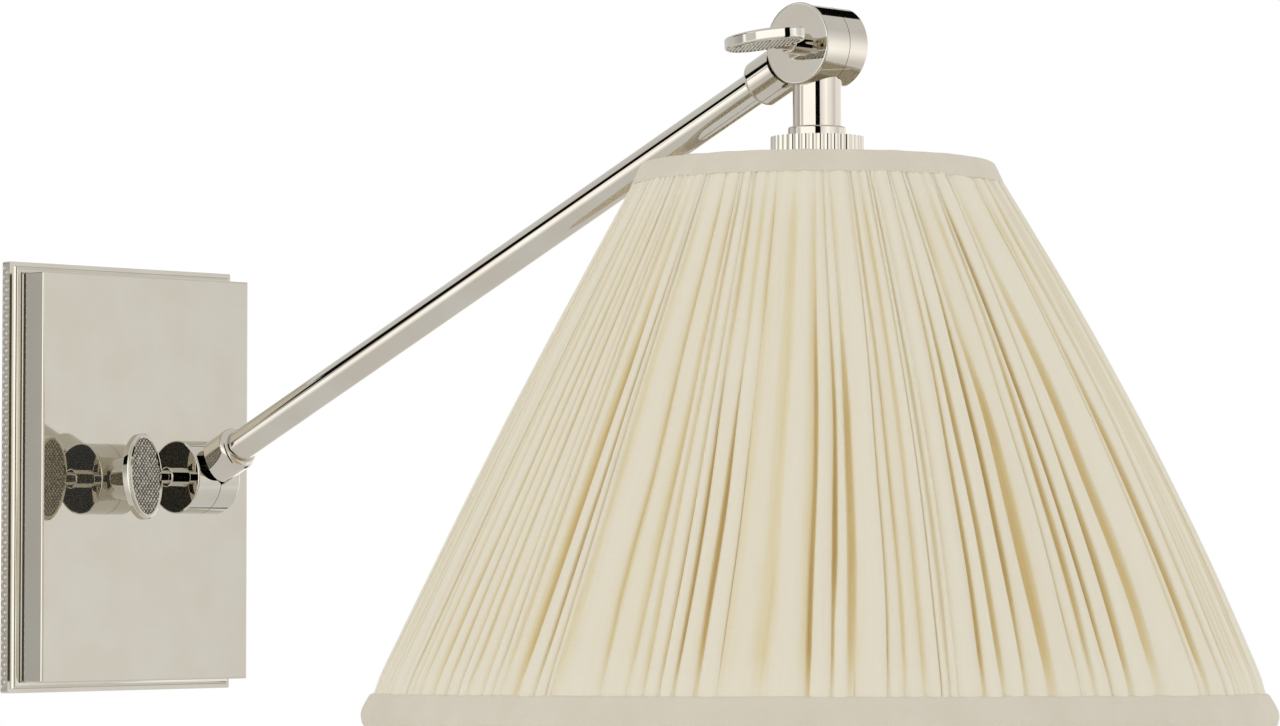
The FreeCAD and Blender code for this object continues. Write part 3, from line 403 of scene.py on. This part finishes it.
# vulcanised fibre: dark red-brown and matt, with short fibres a millimetre long
vulcanised_fibre, spot, _ = start_material("vulcanised_fibre")
fibres = add_node(vulcanised_fibre, "ShaderNodeTexNoise", {"Vector": spot, "Scale": 1 / MM, "Detail": 5.0})
finish_material(
    vulcanised_fibre,
    ["lower_friction_washer", "upper_friction_washer"],
    Base_Color=add_node(vulcanised_fibre, "ShaderNodeMix", {
        "Factor": fibres, "A": colour("#74402E"), "B": colour("#4C241A"),
    }, data_type="RGBA"),
    Roughness=0.75,
    Normal=add_node(vulcanised_fibre, "ShaderNodeBump", {"Height": fibres, "Distance": 0.05 * MM}),
)

# ---- thumb keys ------------------------------------------------------------------------------------
# Oval cast brass keys on shouldered screws. Each face is sunk inside a rounded rim, and the sunk oval
# is cut with a diamond knurl so that a finger grips it. Knurl and key are plated together.
KNURL_PITCH = 1.45 * MM
KNURL_HEIGHT = 0.6 * MM
KNURL_SLANT = 0.8  # the diamonds' width to their length
KNURL_BACKING = 0.2 * MM  # solid metal under the points
OVAL_SIDES = 72
KEY_LENGTH = 35.0 * MM
KEY_WIDTH = 18.4 * MM
KEY_THICKNESS = 4.6 * MM
KEY_RIM = 1.9 * MM
KEY_RECESS = 0.5 * MM
# each key's turn about its screw from upright
KEY_TURNS = {"lower_key": math.radians(-5.0), "upper_key": math.radians(-94.4)}

# knurled nickel: the points are buffed bright, while the buffing wheel misses the grooves, which stay rough.
# The grooves are also painted a dark grey by their depth, painted shade in the recesses, patchy along them
knurled_nickel, spot, _ = start_material("knurled_nickel")
groove = add_node(knurled_nickel, "ShaderNodeAttribute", attribute_name="groove").node.outputs["Fac"]
groove_mottle = add_node(knurled_nickel, "ShaderNodeTexNoise", {"Vector": spot, "Scale": 1 / MM})
# depth into the knurl, broken up by noise, darkens the colour: painted shade in the grooves
darkness = add_node(knurled_nickel, "ShaderNodeMath", {0: groove, 1: groove_mottle}, operation="MULTIPLY")
finish_material(
    knurled_nickel,
    Base_Color=add_node(knurled_nickel, "ShaderNodeValToRGB", {"Fac": darkness}, stops=[
        (0.0, colour("#E2DED4")), (0.2, colour("#D6D2C7")), (0.36, colour("#8C8678")),
        (0.6, colour("#59544A")),
    ]),
    Metallic=1.0,
    Roughness=add_node(knurled_nickel, "ShaderNodeMapRange", {
        "Value": darkness, "To Min": 0.08, "To Max": 0.6,
    }),
)

for key, turn in KEY_TURNS.items():
    cells = math.ceil(1.5 * KEY_LENGTH / KNURL_PITCH)
    bpy.ops.mesh.primitive_grid_add(x_subdivisions=cells, y_subdivisions=cells, size=cells * KNURL_PITCH)
    knurl = bpy.context.object
    knurl.rotation_euler = (0, 0, math.pi / 4)
    bpy.ops.object.transform_apply(rotation=True)
    knurl.scale = (KNURL_SLANT, 1, 1)
    bpy.ops.object.transform_apply(scale=True)
    bpy.ops.object.mode_set(mode="EDIT")
    bpy.ops.mesh.poke(offset=KNURL_HEIGHT)
    bpy.ops.mesh.select_all(action="SELECT")
    bpy.ops.mesh.extrude_region_move(TRANSFORM_OT_translate={"value": (0, 0, -KNURL_BACKING)})
    bpy.ops.mesh.select_all(action="SELECT")
    bpy.ops.mesh.normals_make_consistent(inside=False)
    bpy.ops.object.mode_set(mode="OBJECT")
    knurl.select_set(False)
    bpy.ops.mesh.primitive_cylinder_add(vertices=OVAL_SIDES, radius=0.5, depth=4 * KNURL_HEIGHT)
    oval = bpy.context.object
    oval.scale = (KEY_WIDTH - 2 * KEY_RIM, KEY_LENGTH - 2 * KEY_RIM, 1)
    bpy.ops.object.transform_apply(scale=True)
    oval.select_set(False)
    knurl.select_set(True)
    bpy.context.view_layer.objects.active = knurl
    trim = knurl.modifiers.new("trim", "BOOLEAN")
    trim.operation = "INTERSECT"
    trim.object = oval
    bpy.ops.object.modifier_apply(modifier="trim")
    bpy.data.objects.remove(oval)
    depths = [min(1.0, max(0.0, 1 - vertex.co.z / KNURL_HEIGHT)) for vertex in knurl.data.vertices]
    knurl.data.attributes.new("groove", "FLOAT", "POINT").data.foreach_set("value", depths)
    knurl.location = (0, 0, KEY_THICKNESS / 2 - KEY_RECESS)
    bpy.ops.object.transform_apply(location=True)
    other_face = knurl.modifiers.new("other_face", "MIRROR")
    other_face.use_axis = (False, False, True)
    bpy.ops.object.modifier_apply(modifier="other_face")
    low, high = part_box(key)
    knurl.name = key + "_knurl"
    knurl.rotation_euler = (math.pi / 2 + turn, 0, 0)
    knurl.location = (low.x + KEY_WIDTH / 2, (low.y + high.y) / 2, (low.z + high.z) / 2)
    bpy.ops.object.transform_apply(location=True, rotation=True)
    bpy.ops.object.mode_set(mode="EDIT")
    bpy.ops.mesh.select_all(action="SELECT")
    bpy.ops.mesh.normals_make_consistent(inside=False)
    bpy.ops.object.mode_set(mode="OBJECT")
    knurl.data.materials.append(knurled_nickel)
    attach(knurl, key)
    bpy.ops.object.select_all(action="DESELECT")

# ---- lamp holder and bulb --------------------------------------------------------------------------
# The holder is clamped on the neck's nipple below the reeded cap: a metal shell with a paper liner, a
# porcelain base and a brass screw shell, for a frosted bulb with an aluminium cap.

# glazed porcelain: white and glassy, with a slow unevenness under the glaze
glazed_porcelain, spot, _ = start_material("glazed_porcelain")
glaze = add_node(glazed_porcelain, "ShaderNodeTexNoise", {"Vector": spot, "Scale": 1 / (5 * MM)})
finish_material(
    glazed_porcelain,
    ["socket_base"],
    Base_Color=add_node(glazed_porcelain, "ShaderNodeMix", {
        "Factor": glaze, "A": colour("#F3F0E9"), "B": colour("#E6E0D4"),
    }, data_type="RGBA"),
    Roughness=0.16,
    Normal=add_node(glazed_porcelain, "ShaderNodeBump", {"Height": glaze, "Distance": 0.1 * MM}),
)

# pressed insulating paper: grey-brown and matt, with felted fibres under a millimetre long
insulating_paper, spot, _ = start_material("insulating_paper")
felt = add_node(insulating_paper, "ShaderNodeTexNoise", {
    "Vector": spot, "Scale": 1 / (0.8 * MM), "Detail": 5.0,
})
finish_material(
    insulating_paper,
    ["socket_liner"],
    Base_Color=add_node(insulating_paper, "ShaderNodeMix", {
        "Factor": felt, "A": colour("#CDC4AE"), "B": colour("#AFA287"),
    }, data_type="RGBA"),
    Roughness=0.9,
    Normal=add_node(insulating_paper, "ShaderNodeBump", {"Height": felt, "Distance": 0.05 * MM}),
)

# drawn aluminium: pale grey, satin, streaked round by the drawing and thread-rolling tools
drawn_aluminium, spot, _ = start_material("drawn_aluminium")
around = add_node(drawn_aluminium, "ShaderNodeMapping", {"Vector": spot, "Scale": (0.1, 0.1, 1)})
streaks = add_node(drawn_aluminium, "ShaderNodeTexNoise", {"Vector": around, "Scale": 1 / (0.3 * MM)})
finish_material(
    drawn_aluminium,
    ["bulb_screw"],
    Base_Color=add_node(drawn_aluminium, "ShaderNodeMix", {
        "Factor": streaks, "A": colour("#D0D1D2"), "B": colour("#AEB0B3"),
    }, data_type="RGBA"),
    Metallic=1.0,
    Roughness=add_node(drawn_aluminium, "ShaderNodeMapRange", {
        "Value": streaks, "To Min": 0.2, "To Max": 0.45,
    }),
)

# pressed black glass: nearly black and glossy, with pressing ripples
black_glass, spot, _ = start_material("pressed_black_glass")
ripples = add_node(black_glass, "ShaderNodeTexNoise", {"Vector": spot, "Scale": 1 / (2 * MM)})
finish_material(
    black_glass,
    ["bulb_insulator"],
    Base_Color=add_node(black_glass, "ShaderNodeMix", {
        "Factor": ripples, "A": colour("#16151A"), "B": colour("#26252C"),
    }, data_type="RGBA"),
    Roughness=0.12,
    Normal=add_node(black_glass, "ShaderNodeBump", {"Height": ripples, "Distance": 0.05 * MM}),
)

# acid-frosted glass: milky white and silky, clouded where the acid bit unevenly
frosted_glass, spot, _ = start_material("frosted_glass")
frosting = add_node(frosted_glass, "ShaderNodeTexNoise", {
    "Vector": spot, "Scale": 1 / (6 * MM), "Detail": 4.0,
})
finish_material(
    frosted_glass,
    ["bulb_glass"],
    Base_Color=add_node(frosted_glass, "ShaderNodeMix", {
        "Factor": frosting, "A": colour("#F4F2ED"), "B": colour("#E9E6DE"),
    }, data_type="RGBA"),
    Roughness=add_node(frosted_glass, "ShaderNodeMapRange", {
        "Value": frosting, "To Min": 0.26, "To Max": 0.44,
    }),
)

# ---- shade frame -----------------------------------------------------------------------------------
# Steel wire rings, ribs and a three-armed spider, welded together and then coated white so that
# nothing shows through the cloth.

# white powder coat: soft gloss, with an orange-peel waviness
powder_coat, spot, _ = start_material("white_powder_coat")
peel = add_node(powder_coat, "ShaderNodeTexNoise", {"Vector": spot, "Scale": 1 / (0.9 * MM)})
finish_material(
    powder_coat,
    ["shade_spider", "top_wire", "bottom_wire", "shade_ribs"],
    Base_Color=add_node(powder_coat, "ShaderNodeMix", {
        "Factor": peel, "A": colour("#EFECE5"), "B": colour("#DEDACF"),
    }, data_type="RGBA"),
    Roughness=0.4,
    Normal=add_node(powder_coat, "ShaderNodeBump", {"Height": peel, "Distance": 0.04 * MM}),
)

# ---- shade cover -----------------------------------------------------------------------------------
# One strip of ivory cotton, gathered by hand on to the top and bottom wires. Flat strips of cloth run
# from wire to wire with narrow deep folds between them, tight at the top and opening lower down.
fabric_low, fabric_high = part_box("shade_fabric")
AXIS = Vector(((fabric_low.x + fabric_high.x) / 2, (fabric_low.y + fabric_high.y) / 2, 0))
COVER_TOP = fabric_high.z
COVER_HEIGHT = fabric_high.z - fabric_low.z
TOP_RADIUS = 66.4 * MM
BOTTOM_RADIUS = (fabric_high.x - fabric_low.x) / 2 - 1.0 * MM
BULGE = 3.6 * MM  # how far the cloth bellies out halfway down
BELLY = Vector((1.2, -1.3, 0)) * MM  # and how much further to one side
STRIP_LENGTH = 1.1
STRIP_WIDTH = 0.212
FOLDS = 124
ROWS = 46
FOLD_POINTS = 12
PROUD = 0.7 * MM  # how far the highest cloth stands over the frame's line
TUCK = 2.0 * MM  # how far the cloth runs on under each binding
PULLED_IN = 1.1 * MM  # how far the bottom binding draws it in
UNEVENNESS = 0.45 * MM  # slow waves round the shade
CROWN = 0.16 * MM  # how far a strip rounds up between its folds
DEEPEST = 3.4 * MM
SHALLOWEST = 0.7 * MM  # a closed fold's depth, and how much each millimetre of gap adds
GAP_DEEPENS = 1.2


def ease(value, start, end):
    """Rises smoothly from 0 at start to 1 at end."""
    share = min(1.0, max(0.0, (value - start) / (end - start)))
    return share * share * (3 - 2 * share)


def cover_radius(share):
    """The cover's radius at a share of the way down."""
    return TOP_RADIUS + (BOTTOM_RADIUS - TOP_RADIUS) * share + 4 * BULGE * share * (1 - share)


draw = random.Random(12)
folds = []
for number in range(FOLDS):
    kind = draw.choices(["open", "crease", "soft"], [0.5, 0.3, 0.2])[0]
    folds.append({
        "kind": kind,
        "width": min(3.6, max(0.36, draw.lognormvariate(0, 0.6))),
        "gap": {"open": draw.uniform(0.24, 0.42), "crease": draw.uniform(0.09, 0.15), "soft": 0.3}[kind],
        "depth": {
            "open": draw.uniform(2.4, 3.3), "crease": draw.uniform(0.9, 1.9), "soft": draw.uniform(0.6, 1.5),
        }[kind] * MM,
        "opens": draw.uniform(-0.1, 0.4),
        "closes": draw.uniform(0.85, 1.25),
        "rise": (draw.uniform(0.0, 0.8) * MM, draw.uniform(0.0, 0.8) * MM),
        "lean": draw.uniform(-0.6, 0.6),
        "seed": draw.uniform(0.0, 100.0),
    })
whole = sum(fold["width"] for fold in folds)
turned = 0.0
for fold in folds:
    fold["width"] *= 2 * math.pi / whole
    fold["start"] = turned
    turned += fold["width"]


def fold_start(number, share):
    """Bearing of a fold's left side: nearly a straight line from wire to wire, leaning a little."""
    fold, before = folds[number % FOLDS], folds[(number - 1) % FOLDS]
    slack = min(fold["width"], before["width"])
    lean = fold["lean"] * max(0.0, 1 - share) ** 1.5 + 0.16 * noise.noise((fold["seed"], share * 3.2, 0))
    return fold["start"] + 2 * math.pi * (number // FOLDS) + slack * lean


def fold_line(number, share, width):
    """Across one fold: the distance along and the depth under the highest cloth, point by point."""
    fold = folds[number]
    gap_share, depth, softness = fold["gap"], fold["depth"], 0.0
    if fold["kind"] == "open":
        opened = ease(share, fold["opens"], fold["opens"] + 0.32)
        opened *= 1 - 0.6 * ease(share, 0.72, fold["closes"])
        gap_share = 0.09 + (gap_share - 0.09) * opened
        depth *= 0.4 + 0.6 * opened
        softness = 0.8 * (1 - ease(share, fold["opens"] - 0.15, fold["opens"] + 0.12))
    elif fold["kind"] == "soft":
        softness = 1.0
    else:
        softness = 0.5 + 0.5 * noise.noise((fold["seed"], share * 2.4, 9))
    pressed = (0.45 + 0.55 * ease(share, 0.0, 0.12)) * (1 - 0.5 * ease(share, 0.88, 1.0))
    depth *= pressed
    gap = gap_share * width
    depth = min(depth, SHALLOWEST + GAP_DEEPENS * gap)
    edge = min(0.45 * MM, 0.22 * (width - gap))
    drift = 0.5 * MM * noise.noise((fold["seed"], share * 2.6, 3))
    left, right = [max(0.0, rise + way * drift) * pressed for rise, way in zip(fold["rise"], (1, -1))]
    line = [(0.3 * gap, depth), (0.72 * gap, 0.96 * depth), (0.95 * gap, (depth + left) / 2)]
    line += [(gap, left + 0.4 * MM), (gap + edge, left + 0.06 * MM)]
    for step in (0.22, 0.42, 0.6, 0.8):
        crown = CROWN * math.sin(math.pi * step)
        line.append((gap + edge + step * (width - gap - 2 * edge), left + (right - left) * step - crown))
    line += [(width - edge, right + 0.06 * MM), (width - 0.04 * gap, right + 0.4 * MM)]
    line.append((width + 0.04 * gap, (depth + right) / 2))
    points = []
    for k, (x, d) in enumerate(line):
        even = (k + 0.5) / FOLD_POINTS
        valley = depth * (0.5 + 0.5 * math.cos(2 * math.pi * even)) ** 1.6 + left * (1 - even) + right * even
        x += (even * width - x) * softness
        d += (valley - d) * softness
        pucker = 0.12 + 0.3 * math.exp(-share / 0.04) + 0.2 * math.exp((share - 1) / 0.04)
        d += pucker * MM * noise.noise((number * 2.3 + k * 0.5, share * 5.5, 5))
        points.append((x, max(-0.2 * MM, d)))
    return points


corners, depths = [], []
for row in range(ROWS + 1):
    share = row / ROWS * (1 + 2 * TUCK / COVER_HEIGHT) - TUCK / COVER_HEIGHT
    radius = cover_radius(share) + PROUD - PULLED_IN * ease(share, 0.95, 1.01)
    for number in range(FOLDS):
        start, end = fold_start(number, share), fold_start(number + 1, share)
        for x, depth in fold_line(number, share, (end - start) * radius):
            bearing = start + x / radius
            out = Vector((math.cos(bearing), math.sin(bearing), 0))
            uneven = UNEVENNESS * noise.noise(out * 1.8 + Vector((0, 0, share * 1.5)))
            middle = AXIS + BELLY * 4 * share * (1 - share) + Vector((0, 0, COVER_TOP - share * COVER_HEIGHT))
            corners.append(middle + out * (radius + uneven - depth))
            depths.append(depth / DEEPEST)
columns = FOLDS * FOLD_POINTS
squares = [
    (
        row * columns + column, (row + 1) * columns + column,
        (row + 1) * columns + (column + 1) % columns, row * columns + (column + 1) % columns,
    )
    for row in range(ROWS) for column in range(columns)
]
cloth = bpy.data.meshes.new("gathered_cover")
cloth.from_pydata(corners, [], squares)
cloth.attributes.new("fold_depth", "FLOAT", "POINT").data.foreach_set("value", depths)
threads = cloth.uv_layers.new(name="threads")
for square in cloth.polygons:
    first = square.index % columns
    for corner, loop in zip(square.vertices, square.loop_indices):
        column = columns if first == columns - 1 and corner % columns == 0 else corner % columns
        threads.data[loop].uv = (column / columns * STRIP_LENGTH, corner // columns / ROWS * STRIP_WIDTH)
cloth.shade_smooth()
gathered_cover = bpy.data.objects.new("gathered_cover", cloth)
bpy.context.scene.collection.objects.link(gathered_cover)

# plain-weave cotton, ivory and matt. Its threads, 0.35 mm apart, are too fine to show and are drawn
# 0.9 mm apart, with thicker slubs along them. Light in a fold has passed through and off other cloth,
# which leaves it a warm gold, so the cloth is tinted darker and more golden by its depth: painted shade
# and painted light in the folds
THREAD_SPACING = 0.9 * MM
THREAD_SCALE = math.pi / (10 * THREAD_SPACING)
SLUB = 1.1 * MM
ivory_cotton, _, strip = start_material("ivory_cotton")
warp, weft = [
    add_node(ivory_cotton, "ShaderNodeTexWave", {
        "Vector": strip, "Scale": THREAD_SCALE, "Distortion": 0.6,
    }, bands_direction=way).node.outputs["Fac"]
    for way in ("X", "Y")
]
weave = add_node(ivory_cotton, "ShaderNodeMath", {0: warp, 1: weft}, operation="ADD")
lengthways = add_node(ivory_cotton, "ShaderNodeMapping", {"Vector": strip, "Scale": (1, 0.05, 1)})
slubs = add_node(ivory_cotton, "ShaderNodeTexNoise", {"Vector": lengthways, "Scale": 1 / SLUB})
# the folds' depth paints shade and warm bounced light into the creases; the slubs are the cloth's own
fold_depth = add_node(ivory_cotton, "ShaderNodeAttribute", attribute_name="fold_depth").node.outputs["Fac"]
uneven_dye = add_node(ivory_cotton, "ShaderNodeMapRange", {"Value": slubs, "To Min": -0.1, "To Max": 0.1})
tone = add_node(ivory_cotton, "ShaderNodeMath", {0: fold_depth, 1: uneven_dye}, operation="ADD")
finish_material(
    ivory_cotton,
    Base_Color=add_node(ivory_cotton, "ShaderNodeValToRGB", {"Fac": tone}, stops=[
        (0.0, colour("#F2EBD7")), (0.2, colour("#F0E7D0")), (0.42, colour("#E9DBB3")),
        (0.7, colour("#DEC68E")), (1.0, colour("#D0B273")),
    ]),
    Roughness=0.85,
    Normal=add_node(ivory_cotton, "ShaderNodeBump", {
        "Height": weave, "Distance": 0.05 * MM, "Strength": 0.5,
    }),
    Sheen_Weight=0.1,
)
cloth.materials.append(ivory_cotton)
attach(gathered_cover, "head")
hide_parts("shade_fabric")

# ---- lining ----------------------------------------------------------------------------------------
# Ivory lawn, cut in panels, sewn to both wires inside the frame and stretched, so that it pulls a
# little flat between the ribs.
LINING_INSET = 6.1 * MM
LINING_SAG = 4.0 * MM
LINING_ROWS = 24
LINING_COLUMNS = 160
RIBS = 8
bpy.ops.mesh.primitive_grid_add(x_subdivisions=LINING_COLUMNS, y_subdivisions=LINING_ROWS, size=1)
lining = bpy.context.object
lining.name = "stretched_lining"
for vertex in lining.data.vertices:
    share = 0.5 - vertex.co.y
    bearing = vertex.co.x * 2 * math.pi
    between_ribs = math.sin(RIBS / 2 * (bearing - math.pi / RIBS)) ** 2
    radius = cover_radius(share) - LINING_INSET - LINING_SAG * between_ribs * 4 * share * (1 - share)
    level = COVER_TOP - share * COVER_HEIGHT
    vertex.co = AXIS + Vector((math.cos(bearing) * radius, math.sin(bearing) * radius, level))
bpy.ops.object.mode_set(mode="EDIT")
bpy.ops.mesh.select_all(action="SELECT")
bpy.ops.mesh.remove_doubles(threshold=0.01 * MM)
bpy.ops.object.mode_set(mode="OBJECT")
bpy.ops.object.shade_smooth()

# cotton lawn: fine, pale and matt, with threads 0.25 mm apart, drawn 0.7 mm apart so that they show
cotton_lawn, spot, panel = start_material("cotton_lawn")
lawn_threads = add_node(cotton_lawn, "ShaderNodeTexNoise", {
    "Vector": add_node(cotton_lawn, "ShaderNodeMapping", {"Vector": spot, "Scale": (1, 1, 0.15)}),
    "Scale": 1 / (0.7 * MM),
})
finish_material(
    cotton_lawn,
    Base_Color=add_node(cotton_lawn, "ShaderNodeMix", {
        "Factor": lawn_threads, "A": colour("#F3EDDF"), "B": colour("#E4DCC8"),
    }, data_type="RGBA"),
    Roughness=0.85,
    Normal=add_node(cotton_lawn, "ShaderNodeBump", {"Height": lawn_threads, "Distance": 0.04 * MM}),
)
lining.data.materials.append(cotton_lawn)
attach(lining, "head")
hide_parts("shade_lining")
bpy.ops.object.select_all(action="DESELECT")

# ---- bindings --------------------------------------------------------------------------------------
# Strips of the same cotton cut on the cross, folded round each wire over the raw edges and glued down:
# a narrow flat one at the top, and a fuller, softly rolled one at the bottom.
# each one's section: radius and height above its lower edge, in millimetres
TOP_SECTION = [
    (67.3, -0.5), (67.3, 0.1), (66.6, 1.4), (65.0, 5.0), (64.1, 7.0), (63.3, 7.7), (61.2, 7.7), (59.3, 7.4),
    (58.4, 6.0), (59.2, 1.0), (59.6, -0.4), (64.0, -0.5),
]
BOTTOM_SECTION = [
    (160.9, 12.4), (161.4, 11.6), (162.6, 9.6), (164.2, 6.8), (164.4, 4.2), (163.6, 1.4), (162.2, 0.0),
    (159.6, -0.2), (157.6, 1.0), (155.8, 4.0), (152.8, 10.0), (152.2, 12.6), (155.4, 13.4),
]
FRONT = Vector((-0.727, -0.686, 0))  # where the bottom binding is sewn a little wider
EXTRA_WIDTH = 3.3 * MM
WIDENS_FROM = 6 * MM
WIDENS_TO = 12 * MM

# bias-cut cotton: the cover's cloth a shade greyer over its glue, with the weave running aslant
bias_cotton, _, strip = start_material("bias_cut_cotton")
aslant = add_node(bias_cotton, "ShaderNodeMapping", {"Vector": strip, "Rotation": (0, 0, math.pi / 4)})
warp, weft = [
    add_node(bias_cotton, "ShaderNodeTexWave", {
        "Vector": aslant, "Scale": THREAD_SCALE, "Distortion": 0.8,
    }, bands_direction=way).node.outputs["Fac"]
    for way in ("X", "Y")
]
weave = add_node(bias_cotton, "ShaderNodeMath", {0: warp, 1: weft}, operation="ADD")
glue = add_node(bias_cotton, "ShaderNodeTexNoise", {"Vector": strip, "Scale": 1 / (20 * MM)})
finish_material(
    bias_cotton,
    Base_Color=add_node(bias_cotton, "ShaderNodeMix", {
        "Factor": glue, "A": colour("#E9E1D0"), "B": colour("#DCD3C0"),
    }, data_type="RGBA"),
    Roughness=0.85,
    Normal=add_node(bias_cotton, "ShaderNodeBump", {"Height": weave, "Distance": 0.06 * MM, "Strength": 0.6}),
    Sheen_Weight=0.1,
)

for name, node, section, steps in (
    ("top_binding", "top_trim", TOP_SECTION, 144), ("bottom_binding", "bottom_trim", BOTTOM_SECTION, 200),
):
    foot_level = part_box(node)[0].z
    bpy.ops.mesh.primitive_circle_add(vertices=len(section), radius=1)
    ring = bpy.context.object
    ring.name = name
    for vertex, (radius, up) in zip(ring.data.vertices, section):
        vertex.co = AXIS + Vector((radius * MM, 0, foot_level + up * MM))
    bpy.ops.object.mode_set(mode="EDIT")
    bpy.ops.mesh.select_all(action="SELECT")
    bpy.ops.mesh.spin(steps=steps, angle=2 * math.pi, center=AXIS, axis=(0, 0, 1))
    bpy.ops.mesh.select_all(action="SELECT")
    bpy.ops.mesh.remove_doubles(threshold=0.01 * MM)
    bpy.ops.mesh.normals_make_consistent(inside=False)
    bpy.ops.object.mode_set(mode="OBJECT")
    rounding = ring.modifiers.new("rounding", "SUBSURF")
    rounding.levels = rounding.render_levels = 2
    bpy.ops.object.modifier_apply(modifier="rounding")
    for vertex in ring.data.vertices:
        out = ((vertex.co - AXIS) * Vector((1, 1, 0))).normalized()
        if node == "bottom_trim":
            raised = ease(vertex.co.z - foot_level, WIDENS_FROM, WIDENS_TO)
            widening = EXTRA_WIDTH * max(0.0, out.dot(FRONT)) * raised
            vertex.co += Vector((0, 0, widening)) - out * 0.5 * widening
        vertex.co += out * 0.25 * MM * noise.noise(vertex.co * 90)
        vertex.co.z += 0.18 * MM * noise.noise(out * 9 + Vector((3, 1, 7)))
    layer = ring.data.uv_layers.active or ring.data.uv_layers.new(name="threads")
    for face in ring.data.polygons:
        middle = math.atan2(face.center.y - AXIS.y, face.center.x - AXIS.x)
        for corner, loop in zip(face.vertices, face.loop_indices):
            place = ring.data.vertices[corner].co - AXIS
            bearing = math.atan2(place.y, place.x)
            bearing += 2 * math.pi * round((middle - bearing) / (2 * math.pi))
            layer.data[loop].uv = (bearing * section[0][0] * MM, place.z)
    bpy.ops.object.shade_smooth()
    ring.data.materials.append(bias_cotton)
    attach(ring, "head")
    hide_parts(node)
    bpy.ops.object.select_all(action="DESELECT")
